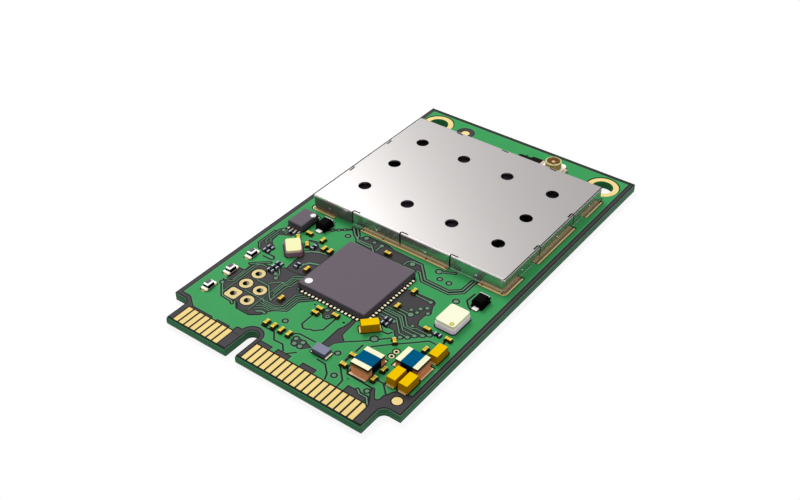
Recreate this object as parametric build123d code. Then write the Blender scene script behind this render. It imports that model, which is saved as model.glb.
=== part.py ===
"""A full-size radio mini card: circuit board, edge contacts, shielded radio half and open bus half.

X runs across the card, Y from the contact edge to the rear edge, Z up. The origin is the middle
of the board's underside. All sizes are in millimetres.
"""
import os

from build123d import *

# Board, after the full-size mini card standard
BOARD_WIDTH = 30.0
BOARD_LENGTH = 50.95
BOARD_THICKNESS = 1.0
TONGUE_WIDTH = 25.7
TONGUE_LENGTH = 3.425
TONGUE_BEVEL = 0.2
SHOULDER_FILLET = 0.8
KEY_NOTCH_WIDTH = 1.5
KEY_NOTCH_DEPTH = 4.025
KEY_NOTCH_FROM_CENTRE = -3.85
COPPER_THICKNESS = 0.05
PLATING = 0.06

# Edge contacts
CONTACT_PITCH = 0.8
CONTACT_WIDTH = 0.62
CONTACT_LENGTH = 2.3
CONTACT_FROM_EDGE = 0.325
CONTACT_FROM_KEY_LEFT = 2.35
CONTACT_FROM_KEY_RIGHT = 1.65
CONTACT_SIDE_MARGIN = 0.7
END_CONTACT_CHAMFER = 0.3

# Holes and alignment dots
MOUNT_HOLE_RADIUS = 1.3
MOUNT_HOLE_INSET = 2.9
MOUNT_LAND_RADIUS = 1.97
HEADER_PITCH = 2.0
HEADER_HOLE_RADIUS = 0.38
HEADER_LAND_RADIUS = 0.76
HEADER_SQUARE_LAND = 1.55
HEADER_SQUARE_FILLET = 0.3
HEADER_FROM_LEFT = 5.03
HEADER_FROM_FRONT = 7.055
VIA_HOLE_RADIUS = 0.17
VIA_LAND_RADIUS = 0.31
VIA_PITCH = 0.8
VIA_PLACE = (9.45, 9.375)
DOT_RADIUS = 0.53
FRONT_DOT_INSET = 1.4
FRONT_DOT_FROM_SHOULDER = 1.35
REAR_DOT_PLACE = (-8.0, 2.65)

# Shield can
SHIELD_SIDE_MARGIN = 1.8
SHIELD_REAR_MARGIN = 5.275
SHIELD_FROM_FRONT = 24.225
SHIELD_HEIGHT = 1.8
SHIELD_SHEET = 0.2
SHIELD_CORNER = 0.25
SHIELD_BEND = 0.15
SHIELD_CORNER_GAP = 0.16
COVER_GAP = 0.1
FRAME_RIM = 0.8
VENT_RADIUS = 0.78
VENT_PITCH_X = 6.23
VENT_PITCH_Y = 5.83
VENT_CENTRE = (-0.15, 0.08)
SLIT_WIDTH = 0.2
SLIT_HOOK = 0.9
SLIT_PITCH_X = 6.78
SLIT_PITCH_Y = 7.4
SLIT_OFFSET = (-0.6, 0.27)
DIMPLE_RADIUS = 0.2
DIMPLE_DEPTH = 0.1
DIMPLE_HEIGHT = 0.85
SHIELD_LAND_OUT = 0.42
SHIELD_LAND_OUT_LEFT = 0.1
SHIELD_LAND_OUT_REAR = 0.1
SHIELD_LAND_REAR_END = 0.4
SHIELD_LAND_IN = 0.55
SHIELD_LAND_CORNER = 0.5
LAND_GAPS_X = [(-7.9, 3.9), (8.05, 4.1)]
LAND_GAPS_Y = [(-5.8, 3.1), (5.2, 2.6)]

# Chip packages: length along X, width along Y, height
MAIN_CHIP = (9.0, 9.0, 0.87)
MAIN_CHIP_PLACE = (-0.45, 16.325)
SUPPLY_CHIP = (2.05, 3.0, 0.9)
SUPPLY_CHIP_PLACE = (-12.08, 21.0)
CHIP_REBATE_HEIGHT = 0.07
CHIP_REBATE_DEPTH = 0.4
CHIP_BEVEL = 0.08
CHIP_LEAD_PITCH = 0.5
CHIP_LEAD_WIDTH = 0.24
CHIP_LEAD_OUT = 0.38
CHIP_LEAD_MARGIN = 0.7
NARROW_CHIP_LEAD_MARGIN = 0.25

# Diodes
DIODE_BODY = (1.25, 1.7, 0.95)
DIODE_BEVEL = 0.16
DIODE_LEAD = (0.62, 0.45, 0.16)
DIODE_PLACES = [(12.2, 21.32, 0), (-9.6, 21.87, 0)]

# Crystal and oscillator in ceramic housings
CRYSTAL_BASE = (2.5, 2.0, 0.55)
CRYSTAL_LID = (2.3, 1.7, 0.3)
CRYSTAL_PLACE = (-9.65, 16.475, 135)
OSCILLATOR_BASE = (2.5, 3.2, 0.6)
OSCILLATOR_LID = (2.34, 3.04, 0.45)
OSCILLATOR_PLACE = (11.5, 17.1)
LID_CORNER = 0.28
CASTELLATION_RADIUS = 0.2

# Power inductors
INDUCTOR_SIZE = (2.7, 2.2, 1.2)
INDUCTOR_END = 0.6
INDUCTOR_LAND_OUT = 0.45
INDUCTOR_LAND_MARGIN = 0.08
INDUCTOR_PLACES = [(8.52, 6.75, 90), (12.07, 9.425, 0)]

# Large moulded capacitors
LARGE_CAPACITOR_SIZE = (2.0, 1.15, 1.0)
LARGE_CAPACITOR_TAPER = 4.0
LARGE_CAPACITOR_FOOT = (0.45, 0.9, 0.14)
LARGE_CAPACITOR_FOOT_OUT = 0.06
LARGE_CAPACITOR_LAND_OUT = 0.14
LARGE_CAPACITOR_PLACES = [(5.25, 11.275, 45), (13.27, 12.025, 90), (11.87, 6.975, 90), (13.32, 6.975, 90)]

# Small chip capacitors and resistors
SMALL_CHIP_LENGTH = 0.72
SMALL_CHIP_WIDTH = 0.4
CAPACITOR_HEIGHT = 0.4
RESISTOR_HEIGHT = 0.28
SMALL_CHIP_END = 0.15
SMALL_CHIP_INSET = 0.02
CAPACITOR_ROW_START = (-3.78, 5.55)
CAPACITOR_ROW_PITCH = 1.01
CAPACITOR_ROW_COUNT = 4
CAPACITOR_PLACES = [
    (-10.05, 19.72, 0), (-8.0, 19.62, 90), (-6.9, 18.52, 90), (-6.05, 18.52, 90),
    (-8.95, 17.97, 135), (-10.65, 18.42, 135), (-6.1, 14.62, 90), (-5.1, 9.27, 90),
    (-0.75, 10.45, 0), (-0.75, 9.67, 0), (1.25, 10.57, 0), (-0.7, 22.12, 0),
    (5.5, 18.62, 90), (5.5, 15.62, 90), (8.5, 11.12, 135), (11.75, 11.97, 90),
    (10.1, 14.57, 0), (12.75, 14.57, 0), (6.45, 7.02, 0), (6.5, 5.42, 0),
    (10.15, 7.22, 90), (10.15, 5.62, 90),
]
RESISTOR_PLACES = [
    (-11.95, 15.22, 0), (-11.95, 14.5, 0), (-9.2, 13.62, 0), (-9.2, 12.87, 0),
    (-9.25, 12.17, 0), (-7.45, 14.57, 90), (-11.85, 18.75, 0), (-8.1, 18.12, 90),
    (6.0, 12.72, 0), (5.95, 13.42, 0), (11.4, 14.57, 0),
]

# Indicator lamps in a column by the left edge
LAMP_SIZE = (1.6, 0.8, 0.26)
LAMP_END = 0.3
LAMP_LENS = (1.0, 0.76, 0.36)
LAMP_LENS_TAPER = 12.0
LAMP_FROM_LEFT = 2.2
LAMP_FROM_FRONT = 6.275
LAMP_PITCH = 3.4
LAMP_COUNT = 3

# Filter chip in front
FILTER_CHIP_SIZE = (1.7, 1.1, 0.6)
FILTER_CHIP_FOOT = 0.3
FILTER_CHIP_FOOT_OUT = 0.15
FILTER_CHIP_PLACE = (3.55, 5.575)

# Coaxial antenna socket behind the shield
SOCKET_BASE_SIDE = 2.6
SOCKET_BASE_HEIGHT = 0.35
SOCKET_BASE_CHAMFER = 0.3
SOCKET_RING_RADIUS = 1.0
SOCKET_RING_WALL = 0.15
SOCKET_GROOVE_DEPTH = 0.07
SOCKET_GROOVE_FROM = 0.6
SOCKET_GROOVE_TO = 0.7
SOCKET_HEIGHT = 1.25
SOCKET_PIN_RADIUS = 0.25
SOCKET_PIN_HEIGHT = 1.2
SOCKET_LEG = (1.2, 0.45, 0.3)
SOCKET_SIGNAL_LEG = (0.6, 0.35, 0.12)
SOCKET_PLACE = (5.3, 3.1)

# Inner pieces, by the shield's front wall and by its rear wall
BASEBAND_WIDTH = 9.0
BASEBAND_HEIGHT = 0.85
BASEBAND_FROM_CENTRE = -6.2
BASEBAND_FROM_FRONT = 2.35
BASEBAND_FROM_REAR = 10.1
RADIO_CHIP = (5.0, 5.0, 0.85)
RADIO_CHIP_PLACES = [(4.4, 6.2), (-5.6, -4.7)]
AMPLIFIER_CHIP = (4.0, 4.0, 0.9)
AMPLIFIER_PLACE = (3.4, -4.6)
SWITCH_CHIP = (2.0, 2.0, 0.6)
SWITCH_PLACE = (8.6, -3.2)
REGULATOR_CHIP = (2.05, 3.0, 0.9)
REGULATOR_PLACE = (10.6, 2.65)
CLOCK_PLACE = (3.6, 1.75)
WAVE_FILTER_BASE = (3.0, 3.0, 0.6)
WAVE_FILTER_LID = (2.7, 2.7, 0.3)
WAVE_FILTER_PLACES = [(10.4, 6.95), (-10.6, -4.7)]
BASEBAND_ROW = (-9.4, 1.2)
BASEBAND_ROW_PITCH = 1.6
BASEBAND_ROW_COUNT = 5
RADIO_ROW = (-8.0, -1.2)
RADIO_ROW_PITCH = 1.5
RADIO_ROW_COUNT = 4
INNER_RESISTOR_ROW = (8.0, 5.0)
INNER_RESISTOR_PITCH = 1.5
INNER_RESISTOR_COUNT = 3
COIL_ROW = (7.0, -7.0)
COIL_ROW_PITCH = 1.5
COIL_ROW_COUNT = 3

# Lines and faces that the pieces share
FRONT = -BOARD_LENGTH / 2
REAR = BOARD_LENGTH / 2
LEFT = -BOARD_WIDTH / 2
RIGHT = BOARD_WIDTH / 2
SHOULDER = FRONT + TONGUE_LENGTH
TOP = BOARD_THICKNESS
SHIELD_WIDTH = BOARD_WIDTH - 2 * SHIELD_SIDE_MARGIN
SHIELD_FRONT = FRONT + SHIELD_FROM_FRONT
SHIELD_REAR = REAR - SHIELD_REAR_MARGIN
SHIELD_LENGTH = SHIELD_REAR - SHIELD_FRONT
SHIELD_MIDDLE = (SHIELD_FRONT + SHIELD_REAR) / 2
ON_FACE = (Align.CENTER, Align.CENTER, Align.MIN)


def block(size):
    """A box that stands on the plane Z = 0."""
    return Box(*size, align=ON_FACE)


def on_card(shape, place, turn=0):
    """Sets a shape on the board's top, placed from the centre line and the contact edge."""
    return Pos(place[0], FRONT + place[1], TOP) * Rot(0, 0, turn) * shape


def in_shield(shape, place, turn=0):
    """Sets a shape under the shield: a positive second value counts from its front wall, a negative
    one from its rear wall."""
    wall = SHIELD_FRONT if place[1] > 0 else SHIELD_REAR
    return Pos(place[0], wall + place[1], TOP) * Rot(0, 0, turn) * shape


def row(start, pitch, count, turn=90):
    """Places of equal small parts in a row along X."""
    return [(start[0] + i * pitch, start[1], turn) for i in range(count)]


def sunk_top(profile):
    """Copper let in flush with the board's top."""
    return extrude(Pos(0, 0, TOP) * profile, -COPPER_THICKNESS)


def sunk_bottom(profile):
    """Copper let in flush with the board's underside."""
    return extrude(profile, COPPER_THICKNESS)


def eyelet(land, hole_radius):
    """A plated hole: a land on both faces and the barrel between them."""
    barrel = Circle(hole_radius + PLATING)
    solid = sunk_top(land) + sunk_bottom(land) + extrude(barrel, BOARD_THICKNESS)
    return solid - Cylinder(hole_radius, BOARD_THICKNESS, align=ON_FACE)


def solids(shapes):
    """One group of separate solids."""
    return Compound(children=[solid for shape in shapes for solid in shape.solids()])


# Bare board

def board_blank():
    """The milled outline: wide body, narrow tongue, key notch with a full-round end."""
    outline = Pos(0, (SHOULDER + REAR) / 2) * Rectangle(BOARD_WIDTH, REAR - SHOULDER)
    outline += Pos(0, FRONT + TONGUE_LENGTH / 2) * Rectangle(TONGUE_WIDTH, TONGUE_LENGTH)
    inner = outline.vertices().sort_by_distance((0, SHOULDER))[:2]
    shoulder_width = (BOARD_WIDTH - TONGUE_WIDTH) / 2
    outline = fillet(inner, min(SHOULDER_FILLET, shoulder_width / 2))
    notch_radius = KEY_NOTCH_WIDTH / 2
    notch_end = FRONT + KEY_NOTCH_DEPTH - notch_radius
    notch = Pos(KEY_NOTCH_FROM_CENTRE, (FRONT + notch_end) / 2)
    outline -= notch * Rectangle(KEY_NOTCH_WIDTH, notch_end - FRONT)
    outline -= Pos(KEY_NOTCH_FROM_CENTRE, notch_end) * Circle(notch_radius)
    blank = extrude(outline, BOARD_THICKNESS)
    lead_in = blank.faces().sort_by(Axis.Y)[:2].edges().filter_by(Axis.X)
    return chamfer(lead_in, TONGUE_BEVEL)


# Edge contacts

def contact_profiles():
    """Contact outlines that fill the tongue left and right of the key notch; the last has a cut corner."""
    places = []
    for side, from_key in ((-1, CONTACT_FROM_KEY_LEFT), (1, CONTACT_FROM_KEY_RIGHT)):
        first = KEY_NOTCH_FROM_CENTRE + side * from_key
        room = (TONGUE_WIDTH - CONTACT_WIDTH) / 2 - CONTACT_SIDE_MARGIN - side * first
        places += [first + side * i * CONTACT_PITCH for i in range(int(room / CONTACT_PITCH) + 1)]
    middle = FRONT + CONTACT_FROM_EDGE + CONTACT_LENGTH / 2
    contacts = [Pos(x, middle) * Rectangle(CONTACT_WIDTH, CONTACT_LENGTH) for x in places]
    last = contacts[-1]
    contacts[-1] = chamfer(last.vertices().group_by(Axis.Y)[-1].sort_by(Axis.X)[-1], END_CONTACT_CHAMFER)
    return contacts


# Plated holes and alignment dots

def mounting_hole_places():
    return [(side * (BOARD_WIDTH / 2 - MOUNT_HOLE_INSET), REAR - MOUNT_HOLE_INSET) for side in (-1, 1)]


def header_places():
    """Five header holes, stepping to the right towards the contact edge."""
    x = LEFT + HEADER_FROM_LEFT
    y = FRONT + HEADER_FROM_FRONT
    step = HEADER_PITCH
    return [(x, y), (x, y + step), (x, y + 2 * step), (x + step, y), (x + step, y + step)]


def header_eyelets():
    square = RectangleRounded(HEADER_SQUARE_LAND, HEADER_SQUARE_LAND, HEADER_SQUARE_FILLET)
    lands = [square] + [Circle(HEADER_LAND_RADIUS)] * (len(header_places()) - 1)
    return [Pos(*at) * eyelet(land, HEADER_HOLE_RADIUS) for at, land in zip(header_places(), lands)]


def via_eyelets():
    x, y = VIA_PLACE
    places = [(x, FRONT + y + i * VIA_PITCH) for i in range(2)]
    return [Pos(*at) * eyelet(Circle(VIA_LAND_RADIUS), VIA_HOLE_RADIUS) for at in places]


def alignment_dots():
    front = Pos(RIGHT - FRONT_DOT_INSET, SHOULDER + FRONT_DOT_FROM_SHOULDER)
    rear = Pos(REAR_DOT_PLACE[0], REAR - REAR_DOT_PLACE[1])
    return [at * sunk_top(Circle(DOT_RADIUS)) for at in (front, rear)]


# Shield

def shield_lands():
    """A ring of solder lands under the shield's wall, broken where traces pass and at its rear right
    corner. It stands out past the wall at the front and on the right."""
    outer_width = SHIELD_WIDTH + SHIELD_LAND_OUT + SHIELD_LAND_OUT_LEFT
    outer_length = SHIELD_LENGTH + SHIELD_LAND_OUT + SHIELD_LAND_OUT_REAR
    outer = Pos((SHIELD_LAND_OUT - SHIELD_LAND_OUT_LEFT) / 2, (SHIELD_LAND_OUT_REAR - SHIELD_LAND_OUT) / 2)
    outer *= RectangleRounded(outer_width, outer_length, SHIELD_LAND_CORNER)
    outer -= Pos(SHIELD_WIDTH / 2 + SHIELD_LAND_OUT, SHIELD_LENGTH / 2) * Rectangle(
        2 * SHIELD_LAND_OUT, 2 * SHIELD_LAND_REAR_END)
    inner = Rectangle(SHIELD_WIDTH - 2 * SHIELD_LAND_IN, SHIELD_LENGTH - 2 * SHIELD_LAND_IN)
    ring = outer - inner
    ring -= [Pos(x, 0) * Rectangle(gap, 2 * SHIELD_LENGTH) for x, gap in LAND_GAPS_X]
    ring -= [Pos(0, y) * Rectangle(2 * SHIELD_WIDTH, gap) for y, gap in LAND_GAPS_Y]
    return sunk_top(Pos(0, SHIELD_MIDDLE) * ring).solids()


def dimple_places():
    """Middles of the spring fingers between the slits: position on the wall and turn of the wall."""
    half_width, half_length = SHIELD_WIDTH / 2, SHIELD_LENGTH / 2
    along_x = [SLIT_OFFSET[0] + (i - 1.5) * SLIT_PITCH_X for i in range(4)]
    along_y = [SLIT_OFFSET[1] + (i - 1) * SLIT_PITCH_Y for i in range(3)]
    walls = [(x, -half_length, 0) for x in along_x] + [(x, half_length, 180) for x in along_x]
    walls += [(half_width, y, 90) for y in along_y] + [(-half_width, y, 270) for y in along_y]
    return walls


def on_walls(shape):
    """Copies a shape that points to +Y to the middle of each spring finger."""
    return [Pos(x, SHIELD_MIDDLE + y, TOP + DIMPLE_HEIGHT) * Rot(0, 0, turn) * shape
            for x, y, turn in dimple_places()]


def dimple(radius, tip_radius, depth, start=0.0):
    """A flat-tipped cone that points to +Y and starts at a depth below the wall's outer face."""
    return Pos(0, start, 0) * Rot(-90, 0, 0) * Cone(radius, tip_radius, depth, align=ON_FACE)


def shield_cover():
    """A folded lid: vented top, four walls cut into spring fingers, dimples that lock on the frame."""
    outer = RectangleRounded(SHIELD_WIDTH, SHIELD_LENGTH, SHIELD_CORNER)
    inner = offset(outer, -SHIELD_SHEET)
    middle = Pos(0, SHIELD_MIDDLE, TOP + COVER_GAP)
    wall_height = SHIELD_HEIGHT - COVER_GAP
    cover = extrude(middle * outer, wall_height)
    cover = fillet(cover.faces().sort_by(Axis.Z)[-1].edges(), SHIELD_BEND)
    cover -= extrude(middle * inner, wall_height - SHIELD_SHEET)

    vents = [(i - 1.5, j) for i in range(4) for j in (-1, 0, 1) if j or i in (0, 3)]
    vent = Cylinder(VENT_RADIUS, SHIELD_HEIGHT, align=ON_FACE)
    cover -= [Pos(VENT_CENTRE[0] + i * VENT_PITCH_X, SHIELD_MIDDLE + VENT_CENTRE[1] + j * VENT_PITCH_Y, TOP)
              * vent for i, j in vents]

    slit = Pos(0, 0, TOP) * block((SLIT_WIDTH, 3 * SHIELD_SHEET, SHIELD_HEIGHT + SHIELD_SHEET))
    hook = Pos(0, 1.5 * SHIELD_SHEET, TOP + SHIELD_HEIGHT - 2 * SHIELD_SHEET)
    hook *= block((SLIT_HOOK, SLIT_WIDTH, 3 * SHIELD_SHEET))
    half_width, half_length = SHIELD_WIDTH / 2, SHIELD_LENGTH / 2
    along_x = [SLIT_OFFSET[0] + i * SLIT_PITCH_X for i in (-1, 0, 1)]
    along_y = [SLIT_OFFSET[1] + (i - 0.5) * SLIT_PITCH_Y for i in (0, 1)]
    slits = [(x, -half_length, 0, 1) for x in along_x] + [(x, half_length, 180, -1) for x in along_x]
    slits += [(half_width, y, 90, -1) for y in along_y] + [(-half_width, y, 270, 1) for y in along_y]
    for x, y, turn, way in slits:
        cut = slit + Pos(way * SLIT_HOOK / 2, 0, 0) * hook
        cover -= Pos(x, SHIELD_MIDDLE + y, 0) * Rot(0, 0, turn) * cut

    corner_gap = block((2 * SHIELD_CORNER, SHIELD_CORNER_GAP, SHIELD_HEIGHT - 2 * SHIELD_BEND))
    cover -= [Pos(i * half_width, SHIELD_MIDDLE + j * half_length, TOP) * Rot(0, 0, i * j * 45) * corner_gap
              for i in (-1, 1) for j in (-1, 1)]

    cover += on_walls(dimple(DIMPLE_RADIUS + SHIELD_SHEET / 2, DIMPLE_RADIUS,
                                     SHIELD_SHEET / 2 + DIMPLE_DEPTH, SHIELD_SHEET / 2))
    cover -= on_walls(dimple(DIMPLE_RADIUS, DIMPLE_RADIUS / 2, DIMPLE_DEPTH))
    return cover


def shield_frame():
    """The soldered wall under the cover: inward rim, feet with passages for traces, dimple holes."""
    outer = offset(RectangleRounded(SHIELD_WIDTH, SHIELD_LENGTH, SHIELD_CORNER), -SHIELD_SHEET)
    width = SHIELD_WIDTH - 2 * SHIELD_SHEET
    length = SHIELD_LENGTH - 2 * SHIELD_SHEET
    inner = Rectangle(width - 2 * SHIELD_SHEET, length - 2 * SHIELD_SHEET)
    window = Rectangle(width - 2 * FRAME_RIM, length - 2 * FRAME_RIM)
    height = SHIELD_HEIGHT - SHIELD_SHEET
    middle = Pos(0, SHIELD_MIDDLE, TOP)
    frame = extrude(middle * outer, height)
    frame -= extrude(middle * inner, height - SHIELD_SHEET)
    frame -= extrude(middle * window, height)
    passage_height = 2 * COVER_GAP
    frame -= [middle * Pos(x, 0) * block((gap, 2 * length, passage_height)) for x, gap in LAND_GAPS_X]
    frame -= [middle * Pos(0, y) * block((2 * width, gap, passage_height)) for y, gap in LAND_GAPS_Y]
    dimple_hole = Rot(-90, 0, 0) * Cylinder(DIMPLE_RADIUS + SHIELD_SHEET, 3 * SHIELD_SHEET, align=ON_FACE)
    return frame - on_walls(dimple_hole)


# Moulded chips

def moulded_body(size):
    """A moulded chip body with a bevelled top edge and a rebate at its foot that holds the leads."""
    length, width, height = size
    body = block(size)
    body = chamfer(body.faces().sort_by(Axis.Z)[-1].edges(), CHIP_BEVEL)
    core = (length - 2 * CHIP_REBATE_DEPTH, width - 2 * CHIP_REBATE_DEPTH, CHIP_REBATE_HEIGHT)
    return body - (block((length, width, CHIP_REBATE_HEIGHT)) - block(core))


def leads_on(size, margin=CHIP_LEAD_MARGIN, sides=(0, 90, 180, 270)):
    """Rows of flat leads in the foot rebate that stand out past the body; side 0 is the front."""
    length, width, _ = size
    lead = block((CHIP_LEAD_WIDTH, CHIP_REBATE_DEPTH + CHIP_LEAD_OUT, CHIP_REBATE_HEIGHT))
    leads = []
    for turn in sides:
        side, across = (length, width) if turn in (0, 180) else (width, length)
        centre = across / 2 + (CHIP_LEAD_OUT - CHIP_REBATE_DEPTH) / 2
        last = int((side - 2 * margin) / CHIP_LEAD_PITCH)
        leads += [Rot(0, 0, turn) * Pos((i - last / 2) * CHIP_LEAD_PITCH, -centre, 0) * lead
                  for i in range(last + 1)]
    return leads


def diode_body():
    body = block(DIODE_BODY)
    return chamfer(body.faces().sort_by(Axis.Z)[-1].edges(), DIODE_BEVEL)


def diode_leads():
    """A flat lead at each end of the diode, against the foot of its body."""
    centre = (DIODE_BODY[1] + DIODE_LEAD[1]) / 2
    return [Pos(0, side * centre, 0) * block(DIODE_LEAD) for side in (-1, 1)]


# Parts in ceramic housings

def ceramic_base(size):
    """A ceramic tray with a quarter-round castellation down each corner."""
    length, width, height = size
    notch = Cylinder(CASTELLATION_RADIUS, height, align=ON_FACE)
    corners = [(i * length / 2, j * width / 2) for i in (-1, 1) for j in (-1, 1)]
    return block(size) - [Pos(*corner) * notch for corner in corners]


def metal_lid(size, base_height):
    length, width, height = size
    return Pos(0, 0, base_height) * extrude(RectangleRounded(length, width, LID_CORNER), height)


# Chip parts with two ends

def chip_core(length, width, height, end, inset):
    """The ceramic between two metal ends, a little slimmer than they are."""
    core = block((length - 2 * end, width - 2 * inset, height - 2 * inset))
    return Pos(0, 0, inset) * core


def chip_ends(length, width, height, end):
    centre = (length - end) / 2
    return [Pos(side * centre, 0, 0) * block((end, width, height)) for side in (-1, 1)]


def small_chip(height):
    """Core and ends of a small capacitor, resistor or coil."""
    core = chip_core(SMALL_CHIP_LENGTH, SMALL_CHIP_WIDTH, height, SMALL_CHIP_END, SMALL_CHIP_INSET)
    ends = chip_ends(SMALL_CHIP_LENGTH, SMALL_CHIP_WIDTH, height, SMALL_CHIP_END)
    return core, ends


def inductor_parts():
    """Winding body, metal ends and the lands below the ends."""
    length, width, height = INDUCTOR_SIZE
    core = chip_core(length, width, height, INDUCTOR_END, SMALL_CHIP_INSET)
    ends = chip_ends(length, width, height, INDUCTOR_END)
    land_length = INDUCTOR_END + INDUCTOR_LAND_OUT
    land = Rectangle(land_length, width - 2 * INDUCTOR_LAND_MARGIN)
    reach = length / 2 + INDUCTOR_LAND_OUT - land_length / 2
    lands = [Pos(side * reach, 0) * land for side in (-1, 1)]
    return core, ends, lands


def large_capacitor_parts():
    """Moulded body with drafted sides, two feet let into it, and the lands below them."""
    length, width, height = LARGE_CAPACITOR_SIZE
    foot_length, foot_width, foot_height = LARGE_CAPACITOR_FOOT
    body = extrude(Rectangle(length, width), height, taper=LARGE_CAPACITOR_TAPER)
    reach = length / 2 + LARGE_CAPACITOR_FOOT_OUT - foot_length / 2
    foot = block((foot_length, foot_width, foot_height))
    feet = [Pos(side * reach, 0, 0) * foot for side in (-1, 1)]
    land_length = foot_length + LARGE_CAPACITOR_LAND_OUT
    land_reach = length / 2 + LARGE_CAPACITOR_LAND_OUT - land_length / 2
    lands = [Pos(side * land_reach, 0) * Rectangle(land_length, foot_width) for side in (-1, 1)]
    return body - feet, feet, lands


def lamp_parts():
    """Lamp base with metal ends and a clear lens on top."""
    length, width, height = LAMP_SIZE
    core = chip_core(length, width, height, LAMP_END, 0)
    ends = chip_ends(length, width, height, LAMP_END)
    lens_length, lens_width, lens_height = LAMP_LENS
    lens = extrude(Rectangle(lens_length, lens_width), lens_height, taper=LAMP_LENS_TAPER)
    return core, ends, Pos(0, 0, height) * lens


def filter_chip_parts():
    length, width, height = FILTER_CHIP_SIZE
    foot = block((FILTER_CHIP_FOOT + FILTER_CHIP_FOOT_OUT, width - 2 * SMALL_CHIP_INSET, CHIP_REBATE_HEIGHT))
    reach = length / 2 + (FILTER_CHIP_FOOT_OUT - FILTER_CHIP_FOOT) / 2
    feet = [Pos(side * reach, 0, 0) * foot for side in (-1, 1)]
    return block(FILTER_CHIP_SIZE) - feet, feet


# Antenna socket

def socket_parts():
    """Plastic base, snap ring with two ground legs, and centre pin with its signal leg at the front."""
    base = block((SOCKET_BASE_SIDE, SOCKET_BASE_SIDE, SOCKET_BASE_HEIGHT))
    base = chamfer(base.edges().filter_by(Axis.Z), SOCKET_BASE_CHAMFER)
    radius = SOCKET_RING_RADIUS
    ring_height = SOCKET_HEIGHT - SOCKET_BASE_HEIGHT
    groove = radius - SOCKET_GROOVE_DEPTH
    profile = Polyline((radius - SOCKET_RING_WALL, 0), (radius, 0), (radius, SOCKET_GROOVE_FROM),
                       (groove, SOCKET_GROOVE_FROM), (groove, SOCKET_GROOVE_TO), (radius, SOCKET_GROOVE_TO),
                       (radius, ring_height - SOCKET_GROOVE_DEPTH),
                       (radius - SOCKET_GROOVE_DEPTH, ring_height), (radius - SOCKET_RING_WALL, ring_height),
                       close=True)
    ring = revolve(make_face(Plane.XZ * profile), Axis.Z)
    leg_width, leg_length, leg_height = SOCKET_LEG
    reach = (SOCKET_BASE_SIDE + leg_length) / 2
    legs = [Pos(side * reach, 0, 0) * block((leg_length, leg_width, leg_height)) for side in (-1, 1)]
    signal_reach = (SOCKET_BASE_SIDE + SOCKET_SIGNAL_LEG[1]) / 2
    signal_leg = Pos(0, -signal_reach, 0) * block(SOCKET_SIGNAL_LEG)
    pin_radius = SOCKET_PIN_RADIUS
    pin = Cylinder(pin_radius, SOCKET_PIN_HEIGHT - SOCKET_BASE_HEIGHT, align=ON_FACE)
    pin = fillet(pin.faces().sort_by(Axis.Z)[-1].edges(), 0.6 * pin_radius)
    raise_up = Pos(0, 0, SOCKET_BASE_HEIGHT)
    return base, raise_up * ring, legs, raise_up * pin, signal_leg


# Whole card
nodes = {}

nodes["edge_contacts_top"] = [sunk_top(contact) for contact in contact_profiles()]
nodes["edge_contacts_bottom"] = [sunk_bottom(contact) for contact in contact_profiles()]
nodes["mounting_hole_lands"] = [Pos(*at) * eyelet(Circle(MOUNT_LAND_RADIUS), MOUNT_HOLE_RADIUS)
                                for at in mounting_hole_places()]
nodes["header_eyelets"] = header_eyelets()
nodes["via_eyelets"] = via_eyelets()
nodes["alignment_dots"] = alignment_dots()
nodes["shield_lands"] = shield_lands()
nodes["shield_frame"] = [shield_frame()]
nodes["shield_cover"] = [shield_cover()]

nodes["main_chip_body"] = [on_card(moulded_body(MAIN_CHIP), MAIN_CHIP_PLACE)]
nodes["main_chip_leads"] = [on_card(lead, MAIN_CHIP_PLACE) for lead in leads_on(MAIN_CHIP)]
nodes["supply_chip_body"] = [on_card(moulded_body(SUPPLY_CHIP), SUPPLY_CHIP_PLACE)]
nodes["supply_chip_leads"] = [on_card(lead, SUPPLY_CHIP_PLACE)
                              for lead in leads_on(SUPPLY_CHIP, NARROW_CHIP_LEAD_MARGIN, (0, 180))]
nodes["diode_bodies"] = [on_card(diode_body(), (x, y), turn) for x, y, turn in DIODE_PLACES]
nodes["diode_leads"] = [on_card(lead, (x, y), turn) for x, y, turn in DIODE_PLACES for lead in diode_leads()]

crystal_x, crystal_y, crystal_turn = CRYSTAL_PLACE
crystal_lid = metal_lid(CRYSTAL_LID, CRYSTAL_BASE[2])
nodes["crystal_base"] = [on_card(ceramic_base(CRYSTAL_BASE), (crystal_x, crystal_y), crystal_turn)]
nodes["crystal_lid"] = [on_card(crystal_lid, (crystal_x, crystal_y), crystal_turn)]
oscillator_lid = metal_lid(OSCILLATOR_LID, OSCILLATOR_BASE[2])
nodes["oscillator_base"] = [on_card(ceramic_base(OSCILLATOR_BASE), OSCILLATOR_PLACE)]
nodes["oscillator_lid"] = [on_card(oscillator_lid, OSCILLATOR_PLACE)]

coil, coil_ends, coil_lands = inductor_parts()
nodes["inductor_bodies"] = [on_card(coil, (x, y), turn) for x, y, turn in INDUCTOR_PLACES]
nodes["inductor_ends"] = [on_card(end, (x, y), turn) for x, y, turn in INDUCTOR_PLACES for end in coil_ends]
nodes["inductor_lands"] = [on_card(extrude(land, -COPPER_THICKNESS), (x, y), turn)
                           for x, y, turn in INDUCTOR_PLACES for land in coil_lands]

large_body, large_feet, large_lands = large_capacitor_parts()
nodes["large_capacitor_bodies"] = [on_card(large_body, (x, y), turn) for x, y, turn in LARGE_CAPACITOR_PLACES]
nodes["large_capacitor_feet"] = [on_card(foot, (x, y), turn)
                                 for x, y, turn in LARGE_CAPACITOR_PLACES for foot in large_feet]
nodes["large_capacitor_lands"] = [on_card(extrude(land, -COPPER_THICKNESS), (x, y), turn)
                                  for x, y, turn in LARGE_CAPACITOR_PLACES for land in large_lands]

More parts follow.
